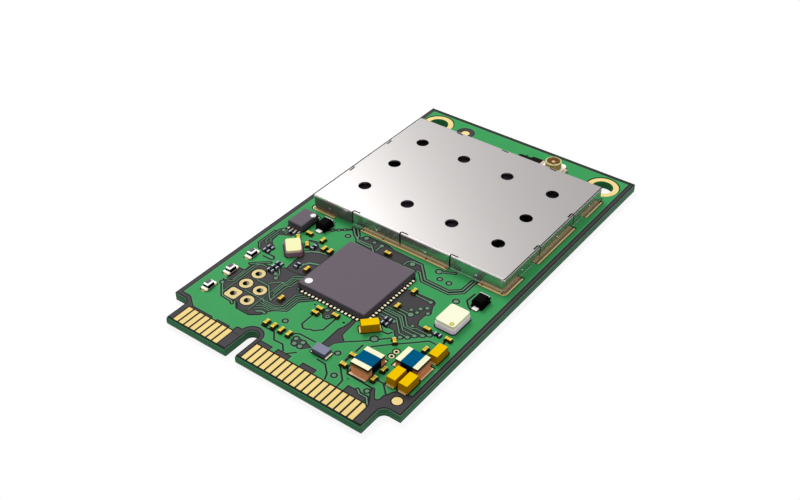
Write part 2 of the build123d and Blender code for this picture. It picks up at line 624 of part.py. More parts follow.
capacitor, capacitor_ends = small_chip(CAPACITOR_HEIGHT)
resistor, resistor_ends = small_chip(RESISTOR_HEIGHT)
capacitor_places = CAPACITOR_PLACES + row(CAPACITOR_ROW_START, CAPACITOR_ROW_PITCH, CAPACITOR_ROW_COUNT)
nodes["small_capacitor_bodies"] = [on_card(capacitor, (x, y), turn) for x, y, turn in capacitor_places]
nodes["small_capacitor_ends"] = [on_card(end, (x, y), turn)
                                 for x, y, turn in capacitor_places for end in capacitor_ends]
nodes["resistor_bodies"] = [on_card(resistor, (x, y), turn) for x, y, turn in RESISTOR_PLACES]
nodes["resistor_ends"] = [on_card(end, (x, y), turn) for x, y, turn in RESISTOR_PLACES for end in resistor_ends]

lamp, lamp_ends, lamp_lens = lamp_parts()
lamp_places = [(LEFT + LAMP_FROM_LEFT, LAMP_FROM_FRONT + i * LAMP_PITCH) for i in range(LAMP_COUNT)]
nodes["lamp_bases"] = [on_card(lamp, at, 90) for at in lamp_places]
nodes["lamp_ends"] = [on_card(end, at, 90) for at in lamp_places for end in lamp_ends]
nodes["lamp_lenses"] = [on_card(lamp_lens, at, 90) for at in lamp_places]

filter_body, filter_feet = filter_chip_parts()
nodes["filter_chip_body"] = [on_card(filter_body, FILTER_CHIP_PLACE)]
nodes["filter_chip_feet"] = [on_card(foot, FILTER_CHIP_PLACE) for foot in filter_feet]

socket_base, socket_ring, socket_legs, socket_pin, socket_signal_leg = socket_parts()
socket_at = Pos(SOCKET_PLACE[0], REAR - SOCKET_PLACE[1], TOP)
nodes["antenna_socket_base"] = [socket_at * socket_base]
nodes["antenna_socket_ring"] = [socket_at * socket_ring]
nodes["antenna_socket_legs"] = [socket_at * leg for leg in socket_legs + [socket_signal_leg]]
nodes["antenna_socket_pin"] = [socket_at * socket_pin]

baseband_length = SHIELD_LENGTH - BASEBAND_FROM_FRONT - BASEBAND_FROM_REAR
baseband_size = (BASEBAND_WIDTH, baseband_length, BASEBAND_HEIGHT)
baseband_place = (BASEBAND_FROM_CENTRE, BASEBAND_FROM_FRONT + baseband_length / 2)
nodes["baseband_chip_body"] = [in_shield(moulded_body(baseband_size), baseband_place)]
nodes["baseband_chip_leads"] = [in_shield(lead, baseband_place) for lead in leads_on(baseband_size)]
nodes["radio_chip_bodies"] = [in_shield(moulded_body(RADIO_CHIP), at) for at in RADIO_CHIP_PLACES]
nodes["radio_chip_leads"] = [in_shield(lead, at) for at in RADIO_CHIP_PLACES for lead in leads_on(RADIO_CHIP)]
nodes["amplifier_body"] = [in_shield(moulded_body(AMPLIFIER_CHIP), AMPLIFIER_PLACE)]
nodes["amplifier_leads"] = [in_shield(lead, AMPLIFIER_PLACE) for lead in leads_on(AMPLIFIER_CHIP)]
nodes["antenna_switch_body"] = [in_shield(moulded_body(SWITCH_CHIP), SWITCH_PLACE)]
nodes["antenna_switch_leads"] = [in_shield(lead, SWITCH_PLACE)
                                 for lead in leads_on(SWITCH_CHIP, NARROW_CHIP_LEAD_MARGIN, (0, 180))]
nodes["regulator_body"] = [in_shield(moulded_body(REGULATOR_CHIP), REGULATOR_PLACE)]
nodes["regulator_leads"] = [in_shield(lead, REGULATOR_PLACE)
                            for lead in leads_on(REGULATOR_CHIP, NARROW_CHIP_LEAD_MARGIN, (0, 180))]
nodes["clock_base"] = [in_shield(ceramic_base(CRYSTAL_BASE), CLOCK_PLACE)]
nodes["clock_lid"] = [in_shield(crystal_lid, CLOCK_PLACE)]
wave_lid = metal_lid(WAVE_FILTER_LID, WAVE_FILTER_BASE[2])
nodes["wave_filter_bases"] = [in_shield(ceramic_base(WAVE_FILTER_BASE), at) for at in WAVE_FILTER_PLACES]
nodes["wave_filter_lids"] = [in_shield(wave_lid, at) for at in WAVE_FILTER_PLACES]

inner_capacitors = row(BASEBAND_ROW, BASEBAND_ROW_PITCH, BASEBAND_ROW_COUNT)
inner_capacitors += row(RADIO_ROW, RADIO_ROW_PITCH, RADIO_ROW_COUNT)
inner_resistors = row(INNER_RESISTOR_ROW, INNER_RESISTOR_PITCH, INNER_RESISTOR_COUNT, turn=0)
inner_coils = row(COIL_ROW, COIL_ROW_PITCH, COIL_ROW_COUNT)
for name, (core, ends), places in (("inner_capacitor", (capacitor, capacitor_ends), inner_capacitors),
                                   ("inner_resistor", (resistor, resistor_ends), inner_resistors),
                                   ("inner_coil", (capacitor, capacitor_ends), inner_coils)):
    nodes[name + "_bodies"] = [in_shield(core, (x, y), turn) for x, y, turn in places]
    nodes[name + "_ends"] = [in_shield(end, (x, y), turn) for x, y, turn in places for end in ends]

# Board, milled and etched to take the copper and the plated holes
board = board_blank()
COPPER_NODES = ("edge_contacts_top", "edge_contacts_bottom", "alignment_dots", "shield_lands",
                "inductor_lands", "large_capacitor_lands", "mounting_hole_lands", "header_eyelets",
                "via_eyelets")
for name in COPPER_NODES:
    board -= nodes[name]
drills = [(at, MOUNT_HOLE_RADIUS) for at in mounting_hole_places()]
drills += [(at, HEADER_HOLE_RADIUS) for at in header_places()]
drills += [((VIA_PLACE[0], FRONT + VIA_PLACE[1] + i * VIA_PITCH), VIA_HOLE_RADIUS) for i in range(2)]
for at, radius in drills:
    board -= Pos(*at) * Cylinder(radius + PLATING / 2, BOARD_THICKNESS, align=ON_FACE)
nodes["circuit_board"] = [board]

os.makedirs("parts", exist_ok=True)
for name, shapes in nodes.items():
    export_step(solids(shapes), f"parts/{name}.step")
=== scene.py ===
import bpy
import numpy as np
from mathutils import Matrix, Vector


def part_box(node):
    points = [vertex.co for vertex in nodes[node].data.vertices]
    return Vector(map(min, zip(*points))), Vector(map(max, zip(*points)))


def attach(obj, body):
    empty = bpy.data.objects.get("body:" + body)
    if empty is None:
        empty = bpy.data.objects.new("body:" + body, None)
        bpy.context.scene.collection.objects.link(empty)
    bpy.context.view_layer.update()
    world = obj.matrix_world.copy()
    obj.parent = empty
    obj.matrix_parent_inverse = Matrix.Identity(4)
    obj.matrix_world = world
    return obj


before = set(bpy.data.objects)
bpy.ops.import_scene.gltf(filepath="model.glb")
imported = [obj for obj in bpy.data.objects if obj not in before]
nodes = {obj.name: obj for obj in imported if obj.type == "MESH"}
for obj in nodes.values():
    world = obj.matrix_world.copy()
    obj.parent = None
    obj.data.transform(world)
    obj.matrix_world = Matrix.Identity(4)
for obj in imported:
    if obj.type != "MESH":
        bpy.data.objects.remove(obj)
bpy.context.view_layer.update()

MM = 0.001


# The bare board: glass cloth and resin pressed into a one millimetre sheet, then milled to its outline.
# Its cut edges show the pale layers of cloth; its faces are covered by the green mask.

def new_material(name):
    """An empty material with its shader; returns the material, its node tree and the shader"""
    material = bpy.data.materials.new(name)
    material.use_nodes = True
    tree = material.node_tree
    shader = tree.nodes["Principled BSDF"]
    return material, tree, shader


def linear(red, green, blue):
    """A colour given as 0 to 255 on the screen, in amounts of light: the screen's curve undone, which is a
    straight line near black and a power of 2.4 above it"""
    screen = np.array([red, green, blue]) / 255.0
    light = np.where(screen <= 0.04045, screen / 12.92, ((screen + 0.055) / 1.055) ** 2.4)
    return (*light.tolist(), 1.0)


def new_group(name, colours, numbers=(), vectors=()):
    """An empty shader group with named inputs that gives one colour; returns it, its inputs and its output"""
    tree = bpy.data.node_groups.new(name, "ShaderNodeTree")
    for kind, labels in (("Color", colours), ("Float", numbers), ("Vector", vectors)):
        for label in labels:
            tree.interface.new_socket(label, in_out="INPUT", socket_type="NodeSocket" + kind)
    tree.interface.new_socket("Colour", in_out="OUTPUT", socket_type="NodeSocketColor")
    return tree, tree.nodes.new("NodeGroupInput").outputs, tree.nodes.new("NodeGroupOutput").inputs["Colour"]


def put(tree, kind, **settings):
    """A node with its settings; the one named inputs holds a value or a link for each input"""
    node = tree.nodes.new(kind)
    inputs = settings.pop("inputs", {})
    for key, value in settings.items():
        setattr(node, key, value)
    for key, value in inputs.items():
        if isinstance(value, bpy.types.NodeSocket):
            tree.links.new(value, node.inputs[key])
        else:
            node.inputs[key].default_value = value
    return node


def ramp(tree, factor, stops):
    """A colour ramp over a factor; stops are (place, colour)"""
    node = put(tree, "ShaderNodeValToRGB", inputs={"Fac": factor})
    elements = node.color_ramp.elements
    for _ in range(len(stops) - len(elements)):
        elements.new(1.0)
    for element, (place, colour) in zip(elements, stops):
        element.position = place
        element.color = linear(*colour)
    return node.outputs["Color"]


def group(tree, shared, **inputs):
    """The colour that a shared group makes in a material with its own values"""
    return put(tree, "ShaderNodeGroup", node_tree=shared,
               inputs={key.replace("_", " "): value for key, value in inputs.items()}).outputs["Colour"]


def place_on(tree):
    """Places on the piece, in metres from the card's centre"""
    return put(tree, "ShaderNodeTexCoord").outputs["Object"]


def facing(tree):
    """The way that the surface faces"""
    return put(tree, "ShaderNodeNewGeometry").outputs["Normal"]


def axes(tree, vector):
    """The three parts of a place or a direction"""
    return put(tree, "ShaderNodeSeparateXYZ", inputs={"Vector": vector}).outputs


def maths(tree, operation, *values):
    """A sum on numbers or on what other nodes give"""
    return put(tree, "ShaderNodeMath", operation=operation, inputs=dict(enumerate(values))).outputs[0]


def spread(tree, value, low, high, to_low=0.0, to_high=1.0):
    """A value carried from one range to another in proportion, and held at the ends"""
    return put(tree, "ShaderNodeMapRange", inputs={"Value": value, "From Min": low, "From Max": high,
                                                   "To Min": to_low, "To Max": to_high}).outputs["Result"]


def mix(tree, factor, first, second):
    """The first colour where the factor is nought, and the second where it is one"""
    return put(tree, "ShaderNodeMix", data_type="RGBA",
               inputs={"Factor": factor, "A": first, "B": second}).outputs["Result"]


def clouds(tree, place, per_metre, detail=4.0, roughness=0.6):
    """Soft patches between nought and one"""
    return put(tree, "ShaderNodeTexNoise", inputs={"Vector": place, "Scale": per_metre, "Detail": detail,
                                                   "Roughness": roughness}).outputs["Fac"]


mottle, given, made = new_group("mottle", ["Colour", "Patch Colour"], ["Patches per Metre", "Amount"])
patches = clouds(mottle, place_on(mottle), given["Patches per Metre"])
strength = maths(mottle, "MULTIPLY", patches, given["Amount"])
mottle.links.new(mix(mottle, strength, given["Colour"], given["Patch Colour"]), made)


def dress(names, material):
    """Gives a finish to the CAD pieces"""
    for name in names:
        nodes[name].data.materials.clear()
        nodes[name].data.materials.append(material)


BARE_BOARD = (20, 20, 14)
PLY_WAVE = 0.12
laminate, tree, shader = new_material("laminate")
place = place_on(tree)
height = axes(tree, place)["Z"]
wavy = maths(tree, "MULTIPLY_ADD", clouds(tree, place, 1500.0, 3.0, 0.5), PLY_WAVE * MM, height)
layers = ramp(tree, maths(tree, "MULTIPLY", wavy, 1 / MM), [
    (0.0, (30, 62, 42)), (0.14, (46, 96, 64)), (0.3, (70, 134, 94)), (0.38, (90, 154, 112)),
    (0.46, (60, 122, 84)), (0.82, (58, 118, 80)), (0.88, (26, 50, 36)), (0.93, (124, 166, 136))])
bevel = ramp(tree, maths(tree, "MULTIPLY", height, 1 / MM), [
    (0.6, (50, 108, 72)), (0.93, (62, 128, 86)), (0.95, (6, 8, 6))])
bare_top = group(tree, mottle, Colour=linear(*BARE_BOARD), Patch_Colour=linear(30, 28, 18),
                 Patches_per_Metre=700.0, Amount=0.8)
underside = group(tree, mottle, Colour=linear(40, 128, 70), Patch_Colour=linear(52, 148, 84),
                  Patches_per_Metre=300.0, Amount=0.8)
rise = axes(tree, facing(tree))["Z"]
colour = mix(tree, maths(tree, "GREATER_THAN", rise, 0.95), layers, bare_top)
colour = mix(tree, maths(tree, "LESS_THAN", rise, -0.7), colour, underside)
colour = mix(tree, maths(tree, "COMPARE", rise, 0.7, 0.2), colour, bevel)
tree.links.new(colour, shader.inputs["Base Color"])
shader.inputs["Roughness"].default_value = 0.5
shader.inputs["Specular IOR Level"].default_value = 0.1
dress(["circuit_board"], laminate)


# The copper pattern under the green mask: a ground pour with its gaps, and the tracks between the pieces.
# The copper is etched from a foil and the mask is printed over it, open at every gold land.

def welded(node):
    """Corners of a CAD piece in millimetres with its doubles merged, and its triangles as rows of three"""
    mesh = node.data
    mesh.calc_loop_triangles()
    points = np.empty(len(mesh.vertices) * 3, np.float32)
    mesh.vertices.foreach_get("co", points)
    triangles = np.empty(len(mesh.loop_triangles) * 3, np.int32)
    mesh.loop_triangles.foreach_get("vertices", triangles)
    corners, index = np.unique((points.reshape(-1, 3) / MM).round(4), axis=0, return_inverse=True)
    return corners, index.reshape(-1)[triangles].reshape(-1, 3)


def face_outline(node, level, way=1):
    """The straight runs round a piece's flat face at one level, upward or downward: the sides that only one
    of its triangles has"""
    corners, triangles = welded(node)
    sides = corners[triangles]
    normal = np.cross(sides[:, 1] - sides[:, 0], sides[:, 2] - sides[:, 0])
    flat = way * normal[:, 2] > 0.9 * np.linalg.norm(normal, axis=1)
    flat &= abs(sides[:, :, 2] - level).max(axis=1) < 0.01
    chosen = triangles[flat]
    pairs = np.sort(np.vstack([chosen[:, [0, 1]], chosen[:, [1, 2]], chosen[:, [2, 0]]]), axis=1)
    pairs, count = np.unique(pairs, axis=0, return_counts=True)
    return corners[pairs[count == 1]][:, :, :2]


REACH = 0.4


def run_distance(x, y, run):
    """Distance from every point to a straight run, as the distance to its nearest point"""
    (ax, ay), (bx, by) = run
    dx, dy = bx - ax, by - ay
    along = np.clip(((x - ax) * dx + (y - ay) * dy) / max(dx * dx + dy * dy, 1e-12), 0.0, 1.0)
    return np.hypot(x - ax - along * dx, y - ay - along * dy)


def near(xs, ys, points, reach=REACH):
    """The rows and columns of a grid that lie within reach of some points, and their places"""
    low, high = np.min(points, axis=0) - reach, np.max(points, axis=0) + reach
    rows = slice(*np.searchsorted(ys, (low[1], high[1])))
    columns = slice(*np.searchsorted(xs, (low[0], high[0])))
    return (rows, columns), xs[columns][None, :], ys[rows][:, None]


def enclosed(xs, ys, runs):
    """Signed distance to closed outlines, positive inside: least distance to a run, with its sign from
    counting the outlines that a line to the right crosses"""
    distance = np.full((len(ys), len(xs)), REACH)
    inside = np.zeros((len(ys), len(xs)), bool)
    for (ax, ay), (bx, by) in runs:
        part, x, y = near(xs, ys, [(ax, ay), (bx, by)])
        if x.size and y.size:
            distance[part] = np.minimum(distance[part], run_distance(x, y, ((ax, ay), (bx, by))))
        rows = slice(*np.searchsorted(ys, (min(ay, by), max(ay, by))))
        y = ys[rows][:, None]
        if y.size:
            inside[rows] ^= xs[None, :] < ax + (bx - ax) * (y - ay) / (by - ay)
    return np.where(inside, distance, -distance)


def area(corners):
    """The runs round a list of corners"""
    return list(zip(corners, corners[1:] + corners[:1]))


def lay(field, xs, ys, path, width):
    """Adds a track to a field of signed distances: half the width less the distance to the path"""
    part, x, y = near(xs, ys, path, REACH + width / 2)
    if x.size and y.size:
        distance = np.min([run_distance(x, y, run) for run in zip(path, path[1:] or path)], axis=0)
        field[part] = np.maximum(field[part], width / 2 - distance)


def clear(field, xs, ys, path, width):
    """Takes a track out of a field of signed distances"""
    part, x, y = near(xs, ys, path, REACH + width / 2)
    if x.size and y.size:
        distance = np.min([run_distance(x, y, run) for run in zip(path, path[1:] or path)], axis=0)
        field[part] = np.minimum(field[part], distance - width / 2)


POUR = [(-14.4, 24.9), (14.4, 24.9), (14.4, -19.35), (13.6, -19.45), (12.8, -19.75), (12.35, -20.5),
        (12.1, -20.9), (12.1, -21.5), (11.95, -21.72), (11.65, -21.72), (10.95, -21.0), (10.6, -21.1),
        (11.3, -22.1), (11.65, -22.85), (-11.8, -22.85), (-11.8, -22.5), (-11.9, -22.45), (-13.1, -21.55),
        (-13.4, -21.45), (-14.4, -21.45)]
BARE_AREAS = [
    # above the contacts and round the key notch
    [(-12.1, -22.5), (-8.97, -22.5), (-8.97, -23), (-12.1, -23)],
    [(-8.35, -22.5), (-6.5, -22.5), (-6.5, -23), (-8.35, -23)],
    [(-2.6, -22.2), (-0.9, -22.2), (-0.9, -23), (-2.6, -23)],
    [(-0.3, -22.1), (1.5, -22.1), (1.5, -23), (-0.3, -23)],
    [(3.0, -22.1), (4.8, -22.1), (4.8, -23), (3.0, -23)],
    [(8.55, -21.85), (11.1, -21.85), (11.1, -23), (8.55, -23)],
    [(-5.95, -23), (-5.95, -22.15), (-5.7, -22.05), (-2.6, -22.05), (-2.55, -23)],
    # right of the main chip
    [(4.9, -6.75), (8.0, -6.65), (8.4, -6.95), (8.5, -7.6), (9.0, -8.6), (8.65, -9.1), (8.6, -10.2),
     (8.9, -10.8), (9.6, -10.85), (10.3, -10.7), (11.1, -10.9), (11.0, -11.3), (10.4, -11.9), (9.6, -12.7),
     (8.4, -13.55), (7.9, -13.6), (7.4, -13.0), (6.7, -13.0), (6.2, -13.15), (5.0, -12.4), (4.5, -12.4),
     (4.5, -7.0)],
    # in front of the main chip
    [(-0.35, -14.0), (0.45, -14.0), (1.2, -15.0), (1.1, -15.4), (0.75, -15.85), (0.3, -15.85), (-0.3, -15.3),
     (-0.45, -15.0)],
    [(2.85, -14.0), (3.4, -14.0), (3.5, -14.8), (3.6, -16.6), (4.45, -17.35), (3.7, -18.2), (3.6, -18.9),
     (2.7, -18.9), (2.62, -16.1), (2.85, -15.6), (2.95, -14.7)],
    [(-0.1, -19.75), (0.3, -19.6), (1.2, -19.6), (2.0, -19.85), (2.3, -20.0), (1.9, -20.4), (1.6, -20.8),
     (0.95, -20.8), (0.6, -20.95), (0.2, -20.7), (-0.2, -20.3)],
    # behind the main chip
    [(-5.2, -3.0), (-4.8, -2.15), (-4.3, -1.95), (-1.6, -1.95), (-0.7, -2.25), (3.45, -2.35), (4.6, -3.5),
     (4.4, -3.8), (-2.0, -3.9), (-5.0, -3.8)],
    # round the header and left of the main chip
    [(-11.3, -13.2), (-10.6, -12.75), (-8.9, -12.4), (-8.4, -11.9), (-6.9, -11.9), (-5.4, -11.5),
     (-4.9, -13.9), (-3.6, -13.9), (-2.2, -14.4), (-3.3, -15.5), (-3.3, -17.2), (-4.9, -18.4), (-4.9, -18.8),
     (-5.3, -19.3), (-6.1, -19.9), (-8.0, -19.9), (-8.6, -19.35), (-10.6, -19.35), (-12.15, -17.75),
     (-12.6, -17.3), (-12.0, -17.3), (-11.65, -16.9), (-12.3, -17.1), (-12.4, -14.85), (-11.65, -14.85),
     (-11.75, -13.6)],
    [(-8.3, -7.1), (-5.6, -6.9), (-5.4, -11.5), (-6.9, -12.0), (-8.2, -12.0), (-8.4, -10.2)],
    # beside the supply chip
    [(-13.3, -5.6), (-13.0, -6.2), (-13.3, -6.6), (-13.35, -7.2), (-13.8, -7.9), (-13.85, -10.3),
     (-13.1, -11.15), (-12.0, -11.1), (-11.75, -10.6), (-11.8, -9.75), (-12.3, -9.5), (-12.75, -9.1),
     (-12.85, -7.9), (-12.2, -7.5), (-11.5, -7.3), (-11.6, -6.0), (-12.2, -5.5)],
]
GAPS = [
    ([(-9.0, -4.0), (-6.9, -2.2)], 0.34), ([(-9.3, -6.6), (-8.5, -6.4), (-7.9, -6.9), (-7.6, -7.2)], 0.3),
    ([(-0.85, -15.9), (-0.85, -17.8), (-0.35, -18.25), (0, -18.2), (0.4, -17.95), (0.8, -17.9), (1.5, -17.2),
      (1.5, -14.4)], 0.12), ([(4.4, -17.3), (5.8, -16.1), (8.0, -13.9)], 0.12),
    ([(7.0, -16.25), (8.6, -14.6), (9.9, -13.4), (10.6, -12.7), (11.2, -12.1), (12.0, -12.1)], 0.12),
    ([(-0.55, -19.45), (0, -19.1), (2.05, -19.1)], 0.12),
    ([(-4.2, -20.0), (-4.05, -20.45), (-2.3, -20.45), (-1.75, -21.1), (-1.5, -21.35), (-0.4, -21.3),
      (0.3, -22.0)], 0.12), ([(0.9, -22.05), (1.5, -21.4)], 0.12),
    ([(3.8, -20.9), (4.9, -20.95), (5.9, -21.9), (6.2, -22.6)], 0.12),
    ([(6.1, -20.1), (7.0, -21.0), (7.7, -21.7), (7.8, -22.8)], 0.12), ([(6.2, -18.3), (6.2, -19.3)], 0.25),
    ([(6.95, -19.3), (6.95, -19.9), (7.5, -20.7), (10.6, -20.8)], 0.14),
    ([(10.8, -20.85), (12.0, -22.5)], 0.4), ([(10.35, -19.65), (11.15, -19.65), (12.25, -20.7)], 0.12),
    ([(6.2, -16.6), (6.2, -17.7)], 0.14), ([(12.5, -11.1), (12.6, -11.6)], 0.2),
    ([(10.85, -3.2), (10.75, -4.6), (11.4, -5.3), (11.9, -5.6)], 0.15),
    ([(6.6, -13.8), (7.2, -13.75), (7.4, -13.3)], 0.14),
    ([(-8.9, -19.1), (-8.0, -20.05), (-6.2, -20.05), (-5.2, -19.25)], 0.14),
    ([(-11.9, -11.2), (-10.6, -11.2), (-10.35, -11.5), (-10.5, -11.8), (-11.7, -11.8)], 0.14),
]
TRACKS = [
    ([(1.75, -3.7), (1.8, -3.1), (2.2, -2.65), (3.4, -2.6), (5.15, -4.45), (8.3, -4.5), (9.4, -3.5),
      (9.45, -1.6)], 0.15),
    ([(3.6, -3.75), (4.0, -3.75), (5.05, -4.85), (8.55, -4.85), (9.75, -3.75), (9.8, -1.6)], 0.15),
    ([(-6.9, -1.7), (-5.9, -2.7), (-5.1, -3.2), (-3.2, -3.15), (-2.2, -4.0)], 0.15),
    ([(-6.3, -1.7), (-5.5, -2.5), (-5.0, -3.45), (-3.1, -3.5)], 0.15),
    ([(5.3, -6.85), (6.0, -7.1), (7.85, -7.1)], 0.14), ([(5.0, -9.9), (7.3, -9.95)], 0.14),
    ([(4.3, -10.35), (6.6, -10.35), (6.9, -10.4), (8.05, -11.6), (8.7, -11.6), (9.0, -11.35), (10.7, -11.35)],
     0.12), ([(4.3, -10.65), (6.7, -10.7), (7.85, -11.85), (10.2, -11.85)], 0.12),
    ([(4.3, -10.95), (6.6, -10.95), (8.05, -12.35), (9.55, -12.35)], 0.12),
    ([(4.3, -11.3), (6.5, -11.35), (8.05, -12.95), (9.1, -12.95)], 0.12),
    ([(4.3, -11.75), (5.9, -11.85), (6.5, -11.85)], 0.12), ([(5.6, -2.4), (7.2, -1.6)], 0.15),
    ([(-5.4, -11.75), (-5.7, -11.85), (-6.55, -12.5), (-6.55, -13.8), (-6.85, -14.15), (-6.85, -15.9)], 0.11),
    ([(-5.4, -12.05), (-5.6, -12.15), (-6.3, -12.75), (-6.3, -13.9), (-6.58, -14.2), (-6.58, -15.8)], 0.11),
    ([(-5.4, -12.35), (-5.6, -12.4), (-6.02, -12.85), (-6.02, -13.85), (-6.36, -14.25), (-6.36, -15.9),
      (-6.2, -16.3)], 0.1), ([(-5.65, -13.0), (-5.7, -13.9), (-6.0, -14.3), (-6.0, -17.0)], 0.12),
    ([(-3.8, -14.1), (-4.35, -14.8), (-4.35, -16.9), (-5.0, -17.35), (-9.3, -17.35)], 0.1),
    ([(-3.3, -14.1), (-4.05, -15.0), (-4.05, -17.05), (-4.9, -17.6), (-6.3, -17.6), (-6.7, -17.35)], 0.1),
    ([(-2.8, -14.1), (-3.77, -15.1), (-3.77, -17.15), (-4.9, -17.83), (-6.6, -17.83)], 0.1),
    ([(-2.3, -14.2), (-3.5, -15.3), (-3.5, -17.2), (-4.9, -18.07), (-6.1, -18.07), (-6.6, -18.5)], 0.1),
    ([(-4.9, -18.32), (-5.8, -18.35), (-6.5, -18.95)], 0.11),
    ([(-5.05, -18.85), (-5.5, -18.8), (-6.0, -19.15)], 0.2),
    ([(-8.0, -15.0), (-7.0, -14.0), (-6.6, -13.95)], 0.13),
    ([(-9.4, -15.3), (-7.7, -15.3), (-6.3, -16.75), (-5.9, -16.95)], 0.13),
    ([(-9.1, -12.1), (-8.1, -13.1), (-8.0, -13.8)], 0.12), ([(-9.0, -12.95), (-8.5, -13.35)], 0.12),
    ([(-12.1, -17.85), (-10.6, -19.4), (-9.2, -19.5), (-8.9, -19.75)], 0.14),
    ([(-11.05, -13.3), (-11.05, -18.9)], 0.1), ([(-11.34, -13.5), (-11.34, -16.95), (-11.9, -17.3)], 0.1),
    ([(-11.56, -14.9), (-11.56, -16.8)], 0.1), ([(-11.95, -13.7), (-10.9, -12.75), (-10.2, -12.2)], 0.12),
    ([(-11.3, -13.35), (-10.7, -13.0), (-10.1, -13.0)], 0.12), ([(-6.85, -16.9), (-6.85, -19.5)], 0.1),
    ([(-13.7, -7.6), (-13.7, -10.2), (-13.0, -10.95)], 0.1),
    ([(-13.4, -7.0), (-13.4, -9.5), (-12.9, -9.9)], 0.1),
    ([(-13.1, -7.6), (-13.1, -9.0), (-12.7, -9.4)], 0.1), ([(-12.7, -5.9), (-12.7, -7.2)], 0.12),
    ([(-12.4, -5.8), (-12.4, -7.3)], 0.12),
    ([(-5.8, -7.35), (-6.9, -7.5), (-7.9, -8.0), (-8.5, -8.6), (-8.9, -9.0)], 0.25),
    ([(-5.75, -9.35), (-6.7, -9.7), (-7.1, -10.3), (-7.1, -10.9)], 0.25),
    ([(9.6, -21.75), (10.1, -22.1), (11.0, -22.1), (11.6, -22.8)], 0.14),
    ([(-2.2, -2.5), (-2.2, -3.6)], 0.14),
]
VIAS = [(7.85, -7.1, 0.22), (7.3, -9.95, 0.3), (10.7, -11.35, 0.22), (10.2, -11.85, 0.22),
        (9.55, -12.35, 0.22), (9.1, -12.95, 0.22), (8.1, -8.1, 0.22), (7.6, -8.6, 0.22), (8.65, -8.75, 0.2),
        (6.9, -9.3, 0.2), (7.65, -9.3, 0.2), (8.5, -11.25, 0.18), (6.5, -11.85, 0.22), (8.5, -13.4, 0.22),
        (6.4, -12.8, 0.2), (0.55, -15.35, 0.25), (-0.1, -14.6, 0.22), (0.15, -19.85, 0.24),
        (1.1, -19.9, 0.24), (0.45, -20.5, 0.24), (1.2, -20.5, 0.24), (-4.45, -2.4, 0.27), (-3.25, -2.5, 0.2),
        (-2.2, -2.5, 0.25), (2.5, -3.1, 0.3), (-2.52, -18.5, 0.22), (4.9, -19.0, 0.22), (6.6, -21.65, 0.22),
        (10.5, -21.4, 0.22), (6.4, -3.4, 0.22), (7.6, -3.4, 0.22), (-6.4, -3.35, 0.22), (5.6, -2.4, 0.3),
        (6.55, -15.15, 0.35), (9.9, -5.4, 0.28), (-13.05, -6.85, 0.22), (-8.5, -3.57, 0.13),
        (-7.95, -3.1, 0.13), (-7.4, -2.63, 0.13), (-8.45, -13.35, 0.22), (-7.95, -13.9, 0.22),
        (-12.15, -17.8, 0.2)]
# Dark runs and spots painted on the mask as shade, among them a dark band beside the antenna socket.
SHADE_RUNS = [
    ([(0.55, -15.35)], 0.26), ([(-1.7, -14.7)], 0.24), ([(2.5, -15.1)], 0.3), ([(8.0, -21.2)], 0.18),
    ([(0.5, 22.65), (3.6, 22.7)], 0.6), ([(2.1, 23.1), (3.7, 23.15)], 0.5),
    ([(1.1, 22.9), (1.2, 23.2)], 0.16),
]
TRACK_GAP = 0.15
GAP_SPREAD = 0.03
ROUND_CLEARINGS = [(13.6, -20.7, 1.25), (-8.0, 22.825, 1.2), (-3.88, -22.2, 1.36)]
LEADED_CHIPS = [(-0.45, -9.15, 5.0, 5.0, 1.1), (-12.08, -4.475, 1.22, 1.7, 0.3)]
CONTACT_ROWS = [(-12.11, -5.89), (-2.51, 11.71)]
CONTACT_REACH = (-25.15, -22.85)
MASK_OVER_BOARD = 0.012
MASK_OVER_COPPER = 0.05
MASK_STEP = 0.1
MASK_DIP = 0.02
MASK_DIP_REACH = 0.06
FOOT_SHADE_START = -0.05
FOOT_SHADE_HALF = 0.04


